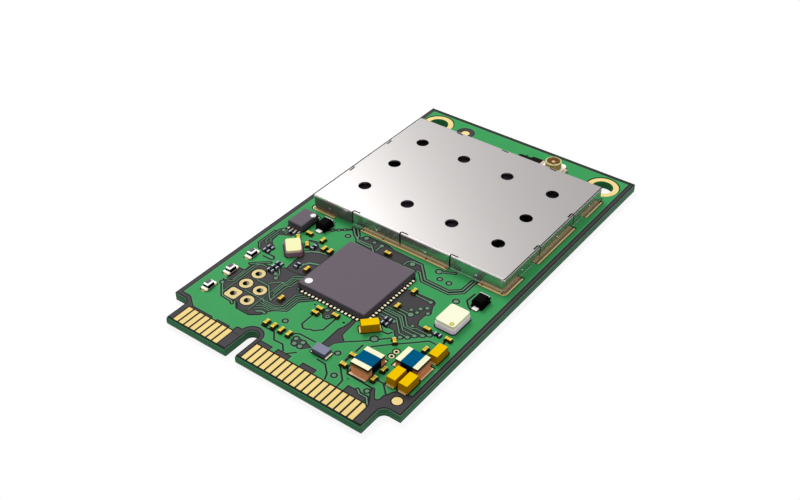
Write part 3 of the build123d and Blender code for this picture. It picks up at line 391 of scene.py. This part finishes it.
def artwork(name, x_ends, y_ends, cell, skipped=None):
    """A sheet of mask over the board: its height is the board's top, a little more over bare laminate and
    more over copper, with a smooth step, three squares less two cubes, where the signed distance to the
    copper changes sign; it dips under the board's face near every land, hole and edge. Its points keep the
    distance to the copper, the tracks, the black fields of painted shade and the nearest edge of a land, a
    hole or a foot, along which a dark line is painted as shade."""
    xs = np.linspace(*x_ends, round((x_ends[1] - x_ends[0]) / cell) + 1)
    ys = np.linspace(*y_ends, round((y_ends[1] - y_ends[0]) / cell) + 1)
    face = enclosed(xs, ys, board_face)
    copper = enclosed(xs, ys, area(POUR))
    for corners in BARE_AREAS:
        copper = np.minimum(copper, -enclosed(xs, ys, area(corners)))
    for path, width in GAPS:
        clear(copper, xs, ys, path, width + GAP_SPREAD)
    for path, width in TRACKS:
        clear(copper, xs, ys, path, width + 2 * TRACK_GAP)
    for x, y, radius in VIAS:
        clear(copper, xs, ys, [(x, y)], 2 * (radius + TRACK_GAP))
    track = np.full_like(copper, -REACH)
    for path, width in TRACKS + [([(x, y)], 2 * radius) for x, y, radius in VIAS]:
        lay(copper, xs, ys, path, width)
        lay(track, xs, ys, path, width)
    for x, y, radius in ROUND_CLEARINGS:
        clear(copper, xs, ys, [(x, y)], 2 * radius)
    # The black field is painted shade: under and between the leads of the leaded chips, between the edge
    # contacts and along the shade runs.
    black = np.full_like(copper, -REACH)
    for x, y, right, rear, cut in LEADED_CHIPS:
        corners = [(x - right, y - rear + cut), (x - right + cut, y - rear), (x + right - cut, y - rear),
                   (x + right, y - rear + cut), (x + right, y + rear - cut), (x + right - cut, y + rear),
                   (x - right + cut, y + rear), (x - right, y + rear - cut)]
        black = np.maximum(black, enclosed(xs, ys, area(corners)))
    for left, right in CONTACT_ROWS:
        front, rear = CONTACT_REACH
        corners = [(left, front), (right, front), (right, rear), (left, rear)]
        black = np.maximum(black, enclosed(xs, ys, area(corners)))
    for path, width in SHADE_RUNS:
        lay(black, xs, ys, path, width)
    # A dark line of painted shade round each foot and along the edges of the board's face, its lands and
    # holes.
    foot = enclosed(xs, ys, feet)
    line = np.minimum(face, abs(foot - FOOT_SHADE_START) + FOOT_SHADE_HALF)
    x, y = np.meshgrid(xs, ys)
    slope_y, slope_x = np.gradient(face, ys, xs)
    outside = np.minimum(face, 0.0)
    x, y = x - outside * slope_x, y - outside * slope_y
    step = np.clip(copper / MASK_STEP + 0.5, 0, 1)
    step = step * step * (3 - 2 * step)
    rise = MASK_OVER_BOARD + (MASK_OVER_COPPER - MASK_OVER_BOARD) * step
    edge = np.clip(face / MASK_DIP_REACH, 0, 1)
    z = board_top - MASK_DIP + (rise + MASK_DIP) * edge * edge * (3 - 2 * edge)
    number = np.arange(x.size).reshape(x.shape)
    cells = np.stack([number[:-1, :-1], number[:-1, 1:], number[1:, 1:], number[1:, :-1]],
                     axis=-1).reshape(-1, 4)
    used = (face.reshape(-1)[cells] > 0).any(axis=1)
    if skipped:
        left, right, front, rear = skipped
        middle_x, middle_y = x.reshape(-1)[cells].mean(axis=1), y.reshape(-1)[cells].mean(axis=1)
        used &= ~((middle_x > left) & (middle_x < right) & (middle_y > front) & (middle_y < rear))
    cells = cells[used]
    points_kept, cells = np.unique(cells, return_inverse=True)
    points = np.stack([x.reshape(-1), y.reshape(-1), z.reshape(-1)], axis=1)[points_kept] * MM
    mesh = bpy.data.meshes.new(name)
    mesh.from_pydata(points, [], cells.reshape(-1, 4))
    mesh.polygons.foreach_set("use_smooth", np.ones(len(mesh.polygons), bool))
    for label, values in (("copper", copper), ("track", track), ("black", black), ("line", line)):
        values = values.reshape(-1)[points_kept].astype(np.float32)
        mesh.attributes.new(label, "FLOAT", "POINT").data.foreach_set("value", values)
    piece = bpy.data.objects.new(name, mesh)
    bpy.context.scene.collection.objects.link(piece)
    piece.data.materials.append(mask)
    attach(piece, "root")
    return piece


def kept(tree, name):
    """A value that a sheet's points keep"""
    return put(tree, "ShaderNodeAttribute", attribute_name=name).outputs["Fac"]


def scaled(tree, colour, amount):
    """A colour made darker or lighter by a factor"""
    return put(tree, "ShaderNodeVectorMath", operation="SCALE",
               inputs={0: colour, "Scale": amount}).outputs["Vector"]


REAR_RIM = 24.86
COPPER_SCALE = 1.25
mask, tree, shader = new_material("green_mask")
place = place_on(tree)
# The ramp over the distance to the copper paints a dark band of shade just outside each copper edge and a
# pale band of highlight just inside it, between the grey of bare board and the green of the pour.
colour = ramp(tree, maths(tree, "MULTIPLY_ADD", kept(tree, "copper"), COPPER_SCALE, 0.5), [
    (0.33, (75, 72, 75)), (0.39, (30, 40, 32)), (0.48, (18, 36, 24)), (0.53, (84, 140, 100)),
    (0.6, (98, 164, 118)), (0.68, (64, 164, 94))])
behind = spread(tree, axes(tree, place)["Y"], REAR_RIM * MM, (REAR_RIM + 0.06) * MM)
colour = mix(tree, behind, colour, linear(46, 62, 50))
colour = mix(tree, spread(tree, kept(tree, "track"), -0.01, 0.02), colour, linear(116, 152, 126))
# The black field of painted shade mixed in
colour = mix(tree, spread(tree, kept(tree, "black"), -0.02, 0.02), colour, linear(18, 14, 8))
# The painted line of shade at feet and edges mixed in
colour = mix(tree, spread(tree, kept(tree, "line"), 0.17, 0.1), colour, linear(20, 26, 18))
colour = scaled(tree, colour, spread(tree, clouds(tree, place, 500.0, 5.0), 0.0, 1.0, 0.92, 1.08))
tree.links.new(colour, shader.inputs["Base Color"])
shader.inputs["Roughness"].default_value = 0.35
shader.inputs["Specular IOR Level"].default_value = 0.02

board_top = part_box("circuit_board")[1][2] / MM
board_face = face_outline(nodes["circuit_board"], board_top)
FOOT_NAMES = ("_bodies", "_body", "_base", "_bases", "_ends", "_feet", "_leads")
standing = [name for name in nodes if name.endswith(FOOT_NAMES)]
feet = np.vstack([face_outline(nodes[name], board_top, -1) for name in standing])
HALF_LENGTH = 25.475
STRIP = 7.5
FINE_CELL = 0.05
COARSE_CELL = 0.1
SHIELD_START = -1.1
UNDER_SHIELD = (-12.9, 12.9, -1.0, 20.0)
for side, left in (("left", -15.0), ("middle_left", -7.5), ("middle_right", 0.0), ("right", 7.5)):
    artwork("mask_front_" + side, (left, left + STRIP), (-HALF_LENGTH, SHIELD_START), FINE_CELL)
artwork("mask_rear", (-15, 15), (SHIELD_START, HALF_LENGTH), COARSE_CELL, skipped=UNDER_SHIELD)


# Gold contacts, lands and eyelets: copper let into the board's faces, plated with nickel and then gold.
# The walls of the plated holes are painted dark green and near black, as shade.

# Upright faces take the side colour and all below the foot height the foot colour; most finishes use a darker
# side colour, which is painted shade.
dressing, given, made = new_group("dressing", ["Top Colour", "Side Colour", "Foot Colour"],
                                  ["Foot Height", "Side Height", "Patches per Metre", "Drift"])
place = place_on(dressing)
level = maths(dressing, "ABSOLUTE", axes(dressing, facing(dressing))["Z"])
colour = mix(dressing, spread(dressing, level, 0.3, 0.8), given["Side Colour"], given["Top Colour"])
low = spread(dressing, axes(dressing, place)["Z"], given["Side Height"], given["Foot Height"])
colour = mix(dressing, low, colour, given["Foot Colour"])
drift = maths(dressing, "MULTIPLY_ADD", clouds(dressing, place, given["Patches per Metre"]), -1.0, 1.5)
dressing.links.new(scaled(dressing, colour, spread(dressing, given["Drift"], 0.0, 1.0, 1.0, drift)), made)

round_mark, given, made = new_group("round mark", ["Colour", "Mark Colour"], ["Radius"], ["Centre"])
away = put(round_mark, "ShaderNodeVectorMath", operation="DISTANCE",
           inputs={0: place_on(round_mark), 1: given["Centre"]}).outputs["Value"]
within = maths(round_mark, "LESS_THAN", away, given["Radius"])
round_mark.links.new(mix(round_mark, within, given["Colour"], given["Mark Colour"]), made)

bar_mark, given, made = new_group("bar mark", ["Colour", "Mark Colour"], vectors=["Centre", "Half Size"])
away = place_on(bar_mark)
for operation, by in (("SUBTRACT", {1: given["Centre"]}), ("ABSOLUTE", {}),
                      ("DIVIDE", {1: given["Half Size"]})):
    away = put(bar_mark, "ShaderNodeVectorMath", operation=operation,
               inputs={0: away, **by}).outputs["Vector"]
away = axes(bar_mark, away)
largest = maths(bar_mark, "MAXIMUM", maths(bar_mark, "MAXIMUM", away["X"], away["Y"]), away["Z"])
within = maths(bar_mark, "LESS_THAN", largest, 1.0)
bar_mark.links.new(mix(bar_mark, within, given["Colour"], given["Mark Colour"]), made)


FOOT_FADE = 0.02


def finish(name, top, side=None, foot=None, foot_height=0.0, side_height=None, roughness=0.5, metallic=0.0,
           specular=0.04, per_metre=1500.0, drift=0.25, glow=0.0, dots=(), bars=()):
    """A finish with its colour on top, down the sides and at the foot, below one height and fading out to
    another; where the sides or the foot are darker than the top, the difference is painted shade, and a glow
    is painted light. Bars are (colour, centre, half size) and dots (colour, centre, radius), in millimetres."""
    material, tree, shader = new_material(name)
    side = side or top
    colour = group(tree, dressing, Top_Colour=linear(*top), Side_Colour=linear(*side),
                   Foot_Colour=linear(*(foot or side)), Foot_Height=foot_height * MM,
                   Side_Height=(side_height or foot_height + FOOT_FADE) * MM, Patches_per_Metre=per_metre,
                   Drift=drift)
    for mark, centre, half in bars:
        colour = group(tree, bar_mark, Colour=colour, Mark_Colour=linear(*mark), Centre=Vector(centre) * MM,
                       Half_Size=Vector(half) * MM)
    for mark, centre, radius in dots:
        colour = group(tree, round_mark, Colour=colour, Mark_Colour=linear(*mark), Centre=Vector(centre) * MM,
                       Radius=radius * MM)
    tree.links.new(colour, shader.inputs["Base Color"])
    if glow:
        tree.links.new(colour, shader.inputs["Emission Color"])
        shader.inputs["Emission Strength"].default_value = glow
    shader.inputs["Roughness"].default_value = roughness
    shader.inputs["Metallic"].default_value = metallic
    shader.inputs["Specular IOR Level"].default_value = specular
    return material


CONTACT_PITCH = 0.8
CONTACT_CROWN = 0.28
CONTACT_SHADE = 0.3
# The contacts are gold on top and painted dark brown down their sides, as shade.
contact = finish("contact_gold", (240, 213, 138), (60, 44, 10), (240, 213, 138), roughness=0.6, metallic=0.1,
                 per_metre=500.0)
tree = contact.node_tree
coloured = tree.nodes["Principled BSDF"].inputs["Base Color"]
# Each contact is painted darker along its two long edges, as shade.
off_first = maths(tree, "SUBTRACT", axes(tree, place_on(tree))["X"], CONTACT_PITCH / 4 * MM)
off_middle = maths(tree, "PINGPONG", off_first, CONTACT_PITCH / 2 * MM)
shaded = spread(tree, off_middle, CONTACT_CROWN * MM, CONTACT_SHADE * MM)
tree.links.new(mix(tree, shaded, coloured.links[0].from_socket, linear(40, 28, 8)), coloured)
dress(["edge_contacts_top", "edge_contacts_bottom"], contact)
# The lands' walls are painted dark green, as shade.
dress(["mounting_hole_lands", "alignment_dots"],
      finish("land_gold", (246, 222, 150), (54, 128, 78), (246, 222, 150), roughness=0.6, metallic=0.1,
             per_metre=600.0))
eyelet = finish("eyelet_gold", (242, 220, 158), (0, 0, 0), (242, 220, 158), roughness=0.6)
tree = eyelet.node_tree
shader = tree.nodes["Principled BSDF"]
# Down the barrel the eyelet is black and glows dark green on one side and pale grey-brown on the other:
# painted light and shade.
lit_side = put(tree, "ShaderNodeVectorMath", operation="DOT_PRODUCT",
               inputs={0: facing(tree), 1: (-1.0, -0.8, 0.0)}).outputs["Value"]
barrel_light_and_shade = mix(tree, spread(tree, lit_side, -0.1, 0.4), linear(8, 22, 8), linear(150, 132, 112))
upright = maths(tree, "COMPARE", axes(tree, facing(tree))["Z"], 0.0, 0.5)
tree.links.new(barrel_light_and_shade, shader.inputs["Emission Color"])
tree.links.new(upright, shader.inputs["Emission Strength"])
dress(["header_eyelets"], eyelet)
# The via walls are painted near black, as shade.
dress(["via_eyelets"], finish("via_gold", (252, 240, 190), (10, 12, 8), (252, 240, 190), roughness=0.6))
# The inductor lands are orange-brown, with a pale band painted as highlight along their outer edges.
LAND_EDGE_HIGHLIGHT = (255, 236, 186)
dress(["inductor_lands"], finish("inductor_land", (236, 164, 116), (252, 232, 180), drift=0.4, bars=[
    (LAND_EDGE_HIGHLIGHT, (8.52, y, 1), (2, 0.18, 1)) for y in (-20.525, -16.925)]
    + [(LAND_EDGE_HIGHLIGHT, (x, -16.05, 1), (0.18, 2, 1)) for x in (10.27, 13.87)]))
dress(["large_capacitor_lands"], finish("capacitor_land", (250, 226, 160), (250, 226, 160), roughness=0.45))


# The shield: a soldered frame and a cover folded from thin tinned steel, whose dimples snap into the frame.
# The top is satin and the walls mirror the board; solder has wetted the lands round its foot.

# The shield's lands have a pale rim painted as highlight along their outer edges and a paler patch of
# highlight at the left end; the lands right of the cover are painted duller, as shade.
LAND_SHADE = (198, 166, 104)
SIDE_LAND_SHADE = (150, 128, 88)
LAND_RIM_HIGHLIGHT = (250, 228, 164)
FRONT_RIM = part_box("shield_lands")[0][1] / MM
RIGHT_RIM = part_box("shield_lands")[1][0] / MM
PINHOLE = (20, 14, 6)
dress(["shield_lands"], finish(
    "soldered_land", LAND_SHADE, LAND_RIM_HIGHLIGHT, roughness=0.5, drift=0.2,
    bars=[(SIDE_LAND_SHADE, (RIGHT_RIM, 10, 1), (0.8, 11.2, 1)), (LAND_RIM_HIGHLIGHT, (0, FRONT_RIM, 1), (20, 0.19, 1)),
          (LAND_RIM_HIGHLIGHT, (RIGHT_RIM, 9, 1), (0.17, 20, 1)),
          ((255, 252, 200), (-13.2, -1.4, 1), (0.35, 0.5, 1))],
    dots=[(PINHOLE, (x, -1.42, 1), 0.12) for x in (-12.98, -5.7, -2.9, 3.1, 5.8, 10.55, 13.1)]
    + [(PINHOLE, (13.35, y, 1), 0.1) for y in (2.0, 5.05, 19.6)]))
# The frame is painted near black, as the shade seen through the cover's slits.
dress(["shield_frame"], finish("frame_sheet_in_shade", (22, 21, 20), (14, 14, 13), roughness=0.6))

COVER_FOOT = 1.18
COVER_WALL = 1.24
cover, tree, shader = new_material("cover_sheet")
slope = axes(tree, facing(tree))
# The sheet is given a darker colour on top than down its walls, painted for how each catches the light; the
# band at the foot of the walls is painted pale and made non-metal, as highlight.
sheet = group(tree, dressing, Top_Colour=linear(158, 155, 154), Side_Colour=linear(220, 210, 212),
              Foot_Colour=linear(230, 234, 228), Foot_Height=COVER_FOOT * MM, Side_Height=COVER_WALL * MM,
              Patches_per_Metre=60.0, Drift=0.06)
# Faces turned to the left are painted near white, as highlight, and the upper part of the right-hand bend is
# painted dark, as shade.
left_fold_highlight = maths(tree, "LESS_THAN", slope["X"], -0.2)
right_fold_shade = maths(tree, "MULTIPLY", maths(tree, "GREATER_THAN", slope["X"], 0.2),
                   maths(tree, "COMPARE", slope["Z"], 0.72, 0.26))
colour = mix(tree, left_fold_highlight, sheet, linear(235, 232, 230))
colour = mix(tree, right_fold_shade, colour, linear(50, 48, 46))
# Metal down to the wall's foot, where the painted highlight is non-metal
bright = spread(tree, axes(tree, place_on(tree))["Z"], COVER_FOOT * MM, COVER_WALL * MM)
FIRST_FLAP_END = -7.42
FLAP_HALF = 5.0
COVER_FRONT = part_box("shield_cover")[0][1] / MM
# The front wall left of the first slit is painted dull grey and made half metal, so that it shows a darker,
# greyer reflection: painted reflection.
colour = group(tree, bar_mark, Colour=colour, Mark_Colour=linear(118, 108, 110),
               Centre=Vector((FIRST_FLAP_END - FLAP_HALF, COVER_FRONT, 1.65)) * MM,
               Half_Size=Vector((FLAP_HALF, 0.2, 0.8)) * MM)
metal = group(tree, bar_mark, Colour=bright, Mark_Colour=(0.5, 0.5, 0.5, 1),
              Centre=Vector((FIRST_FLAP_END - FLAP_HALF, COVER_FRONT, 1.85)) * MM,
              Half_Size=Vector((FLAP_HALF, 0.2, 0.6)) * MM)
tree.links.new(colour, shader.inputs["Base Color"])
tree.links.new(metal, shader.inputs["Metallic"])
tree.links.new(spread(tree, slope["Z"], 0.2, 0.95, 0.26, 0.34), shader.inputs["Roughness"])
dress(["shield_cover"], cover)


# Moulded chips: silica-filled resin pressed round the lead frame, with a white ink dot at terminal one.
# The terminals are tinned copper; the main chip's are made to glow, painted light, and are painted dark under
# the resin, as shade, and all are painted darker down their sides, as shade.

MOULDING = (110, 100, 111)
# The moulding is painted darker down its sides, as shade.
MOULDING_IN_SHADE = (84, 78, 86)
WHITE_INK = (255, 255, 255)
dress(["main_chip_body"], finish("main_moulding", MOULDING, MOULDING_IN_SHADE, drift=0.1,
                                 dots=[(WHITE_INK, (-4.14, -12.8, 1.87), 0.44)]))
dress(["supply_chip_body", "baseband_chip_body", "radio_chip_bodies", "amplifier_body", "antenna_switch_body",
       "regulator_body"],
      finish("chip_moulding", MOULDING, MOULDING_IN_SHADE, drift=0.1,
             dots=[(WHITE_INK, (-11.35, -3.57, 1.9), 0.33)]))
LEAD = (255, 246, 214)
# The leads are made to glow, painted light, and are painted dark within the body's outline, as shade.
dress(["main_chip_leads"], finish("lead_tin", LEAD, (96, 80, 56), glow=0.5, bars=[
    ((24, 18, 10), (-0.45, -9.15, 1), (4.6, 4.6, 2))]))
dress([name for name in nodes if name.endswith("_leads") and name not in ("main_chip_leads", "diode_leads")],
      finish("small_lead_tin", (232, 222, 190), (120, 112, 92), roughness=0.45, metallic=0.2))


# Diodes: black moulded bodies with a white cathode bar, on flat tinned leads.
# The bodies are pressed at one go and the bar is printed on them.

dress(["diode_bodies"], finish(
    "black_moulding", (4, 4, 5), (0, 0, 0), roughness=0.6, specular=0.02, drift=0.6,
    bars=[(WHITE_INK, (x, y + 0.72, 2), (0.62, 0.16, 0.5)) for x, y in ((12.2, -4.095), (-9.6, -3.545))]))
# The diode leads are made to glow: painted light.
dress(["diode_leads"], finish("diode_lead_tin", (255, 252, 250), (255, 246, 236), glow=0.3))


# Crystal and oscillator: fired ceramic trays closed by a seam-welded lid of a pale nickel-iron alloy.
# An ink ring marks the oscillator's first terminal.

dress(["crystal_base"], finish("crystal_ceramic", (140, 104, 128), (150, 112, 138), (226, 168, 120), 1.06,
                               drift=0.2))
# The ceramic is painted dark at its foot, as shadow, and made to glow, painted light.
dress(["oscillator_base", "clock_base", "wave_filter_bases"],
      finish("oscillator_ceramic", (236, 222, 236), (236, 218, 236), (120, 100, 122), 1.06, 1.14, drift=0.3,
             glow=0.15))
dress(["crystal_lid"], finish("lid_alloy", (255, 255, 196), (255, 236, 196), drift=0.1))
dress(["clock_lid", "wave_filter_lids"], finish("dull_alloy", (70, 68, 60), (52, 50, 44)))
INK_RING = (12.19, -9.53, 2.05)
# The lid is made to glow faintly: painted light.
dress(["oscillator_lid"], finish(
    "oscillator_lid_alloy", (255, 255, 224), (255, 250, 224), drift=0.1, glow=0.06,
    dots=[((196, 192, 60), INK_RING, 0.27), ((226, 224, 120), INK_RING, 0.13)]))


# Power inductors: wire-wound ferrite dipped in blue varnish between tinned end caps.
# The caps are pale on top; down their ends they are painted dark, as shade under the top, and orange-brown
# lower down, and they are made to glow faintly, painted light.

# The varnish is painted darker down its sides, as shade.
dress(["inductor_bodies", "inner_coil_bodies"], finish("blue_coat", (0, 94, 138), (10, 28, 44), specular=0.0))
dress(["inductor_ends"], finish("inductor_cap", (255, 255, 216), (44, 30, 18), (226, 156, 106), 1.5, 2.02,
                                glow=0.05))


# Large capacitors: yellow moulded bodies on folded tinned feet.
# The moulding is painted darker down its sloping sides, as shade.

dress(["large_capacitor_bodies"], finish("yellow_moulding", (255, 208, 0), (188, 136, 0), drift=0.12,
                                         specular=0.0))
dress(["large_capacitor_feet"], finish("foot_tin", (240, 206, 130), (226, 186, 110), (255, 236, 176), 1.03))


# Small chip capacitors and resistors: fired ceramic blocks with dipped, tinned ends, soldered to their lands.
# The capacitors are yellow throughout, painted dark brown down their sides and ends as shade; the resistors
# are glazed blue-black, with sides and ends painted darker as shade.

dress(["small_capacitor_bodies"], finish("yellow_ceramic", (238, 200, 60), (52, 36, 2), drift=0.3))
dress(["small_capacitor_ends"], finish("capacitor_end", (255, 230, 120), (84, 58, 4), (190, 160, 90), 1.04,
                                       drift=0.3))
dress(["inner_capacitor_bodies"], finish("brown_ceramic", (92, 70, 44), (70, 52, 34)))
dress(["inner_capacitor_ends"], finish("dull_end", (84, 82, 78), (60, 58, 54)))
dress(["resistor_bodies", "inner_resistor_bodies"], finish("resistor_glaze", (26, 26, 36), (10, 10, 12)))
dress(["resistor_ends", "inner_resistor_ends", "inner_coil_ends"],
      finish("resistor_end", (206, 210, 228), (100, 102, 120), (190, 190, 200), 1.04))


# Indicator lamps: a black base with white shoulders, a cast lens and soldered end terminals.
# The lens is smoked on top and clear down its sides.

LAMP_X = -12.8
LAMP_YS = (-19.2, -15.8, -12.4)
LAMP_HALF = 0.8
dress(["lamp_bases"], finish("lamp_base", (8, 8, 8), (6, 6, 8), (250, 250, 250), 1.1))
# The lens is made to glow: painted light.
dress(["lamp_lenses"], finish(
    "lamp_lens", (92, 88, 96), (4, 4, 6), glow=0.4,
    bars=[(WHITE_INK, (LAMP_X + 0.27, y, 1.62), (0.08, 0.44, 0.1)) for y in LAMP_YS]
    + [(WHITE_INK, (LAMP_X, y - 0.36, 1.62), (0.35, 0.09, 0.1)) for y in LAMP_YS]))
# The end terminals are made to glow: painted light.
dress(["lamp_ends"], finish("lamp_end", (255, 254, 244), (255, 236, 190), glow=0.3))


SOLDER_LIFT = 0.01


def fillets(name, ends, width, reach, height):
    """Half-round fillets of solder against the ends of chips: rows go from the chip's end out to the land's
    edge, columns round a half circle; the height falls off as the square of what is left of the way out"""
    out, round_way = np.meshgrid(np.linspace(0, 1, 9), np.linspace(0, np.pi, 17))
    number = np.arange(out.size).reshape(out.shape)
    cells = np.stack([number[:-1, :-1], number[:-1, 1:], number[1:, 1:], number[1:, :-1]],
                     axis=-1).reshape(-1, 4)
    points, faces, shares = [], [], []
    for k, (x, y, way) in enumerate(ends):
        points.append(np.stack([x + way * width * out * np.cos(round_way),
                                y + way * reach * out * np.sin(round_way),
                                board_top + SOLDER_LIFT + height * (1 - out) ** 2], axis=-1).reshape(-1, 3))
        faces.append(cells + k * out.size)
        shares.append(out.reshape(-1))
    mesh = bpy.data.meshes.new(name)
    mesh.from_pydata(np.vstack(points) * MM, [], np.vstack(faces))
    mesh.polygons.foreach_set("use_smooth", np.ones(len(mesh.polygons), bool))
    shares = np.concatenate(shares).astype(np.float32)
    mesh.attributes.new("out", "FLOAT", "POINT").data.foreach_set("value", shares)
    piece = bpy.data.objects.new(name, mesh)
    bpy.context.scene.collection.objects.link(piece)
    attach(piece, "root")
    return piece


solder, tree, shader = new_material("lamp_solder")
shade = ramp(tree, kept(tree, "out"), [(0.0, (190, 150, 100)), (0.4, (200, 166, 120)), (0.5, (250, 236, 196)),
                                       (0.9, (255, 246, 214)), (1.0, (60, 50, 30))])
tree.links.new(shade, shader.inputs["Base Color"])
shader.inputs["Roughness"].default_value = 0.4
shader.inputs["Specular IOR Level"].default_value = 0.1
lamp_ends = [(LAMP_X, y + way * LAMP_HALF, way) for y in LAMP_YS for way in (-1, 1)]
fillets("lamp_solder", lamp_ends, width=0.46, reach=0.42, height=0.16).data.materials.append(solder)


# Filter chip: a grey-blue moulded block on a tinned land.
# Its ends are plated and show as a thin pale line at the foot, made to glow: painted light. The moulding is
# painted darker down its sides, as shade.

dress(["filter_chip_body"], finish("filter_moulding", (138, 140, 164), (92, 92, 112), drift=0.15))
dress(["filter_chip_feet"], finish("filter_foot", (255, 248, 206), (255, 246, 190), glow=0.4))


# Antenna socket: a turned brass ring and pin, gold plated, in a white plastic base with three soldered legs.
# Down the ring, inside and out, and down the pin and legs the metal is painted darker, as shade; the white
# base is made to glow, painted light.

dress(["antenna_socket_base"], finish("socket_plastic", (255, 254, 240), (236, 228, 200), glow=0.15))
dress(["antenna_socket_legs"], finish("socket_leg", (222, 200, 186), (190, 150, 130)))
dress(["antenna_socket_ring"], finish("socket_ring", (236, 230, 176), (176, 144, 84), roughness=0.5,
                                      metallic=0.1))
dress(["antenna_socket_pin"], finish("socket_pin", (244, 208, 160), (180, 140, 100), roughness=0.5))


# The studio: a pale floor, a soft key light from behind on the left and a plain white room.
# The floor and the room are white to the camera and in reflections, and dimmer as light on the card.

def lit_white(tree):
    """One for the rays that see the room: the camera's, and those off metal and through glass"""
    path = put(tree, "ShaderNodeLightPath").outputs
    seen = maths(tree, "MAXIMUM", path["Is Camera Ray"], path["Is Glossy Ray"])
    return maths(tree, "MAXIMUM", seen, path["Is Transmission Ray"])


scene = bpy.context.scene
scene.view_settings.view_transform = "Standard"

FLOOR_HALF = 1.0
FLOOR_LEVEL = -0.00001
floor_mesh = bpy.data.meshes.new("floor")
floor_corners = [(x * FLOOR_HALF, y * FLOOR_HALF, FLOOR_LEVEL)
                 for x, y in ((-1, -1), (1, -1), (1, 1), (-1, 1))]
floor_mesh.from_pydata(floor_corners, [], [(0, 1, 2, 3)])
floor = bpy.data.objects.new("floor", floor_mesh)
scene.collection.objects.link(floor)
paper, tree, shader = new_material("floor_paper")
tree.nodes.remove(shader)
output = tree.nodes["Material Output"]
dim = put(tree, "ShaderNodeBsdfDiffuse", inputs={"Color": (0.2, 0.2, 0.2, 1)})
glow = put(tree, "ShaderNodeEmission", inputs={"Strength": 0.85})
bright = put(tree, "ShaderNodeAddShader", inputs={0: dim.outputs[0], 1: glow.outputs[0]})
grey = put(tree, "ShaderNodeBsdfDiffuse", inputs={"Color": (0.3, 0.3, 0.3, 1)})
choice = put(tree, "ShaderNodeMixShader", inputs={0: lit_white(tree), 1: grey.outputs[0],
                                                  2: bright.outputs[0]})
tree.links.new(choice.outputs[0], output.inputs["Surface"])
floor_mesh.materials.append(paper)

world = bpy.data.worlds.new("white_room")
scene.world = world
world.use_nodes = True
tree = world.node_tree
tree.nodes.clear()
soft = put(tree, "ShaderNodeBackground", inputs={"Color": (1, 1, 1, 1), "Strength": 0.54})
white = put(tree, "ShaderNodeBackground", inputs={"Color": (1, 1, 1, 1), "Strength": 1.0})
choice = put(tree, "ShaderNodeMixShader", inputs={0: lit_white(tree), 1: soft.outputs[0],
                                                  2: white.outputs[0]})
tree.links.new(choice.outputs[0], put(tree, "ShaderNodeOutputWorld").inputs["Surface"])


def soft_box(name, azimuth, elevation, distance, size, power):
    """A square lamp that faces the card, its place given in degrees round and above it"""
    lamp = bpy.data.lights.new(name, "AREA")
    lamp.shape = "SQUARE"
    lamp.size = size
    lamp.energy = power
    holder = bpy.data.objects.new(name, lamp)
    scene.collection.objects.link(holder)
    around, above = np.radians(azimuth), np.radians(elevation)
    way = Vector((np.cos(above) * np.cos(around), np.cos(above) * np.sin(around), np.sin(above)))
    turn = way.to_track_quat("Z", "Y").to_matrix().to_4x4()
    holder.matrix_world = Matrix.Translation(distance * way) @ turn


soft_box("key_box", azimuth=147, elevation=48, distance=0.5, size=0.22, power=1.36)

camera = bpy.data.cameras.new("camera")
camera.lens = 49.68
camera.sensor_width = 36
camera_object = bpy.data.objects.new("camera", camera)
scene.collection.objects.link(camera_object)
scene.camera = camera_object
across = Vector((0.80113, 0.59849, -0.0005))
toward = Vector((-0.471266, 0.630321, -0.616930))
turn = Matrix((across, across.cross(toward), -toward)).transposed()
camera_object.matrix_world = Matrix.Translation((0.0581036, -0.0797578, 0.0772602)) @ turn.to_4x4()
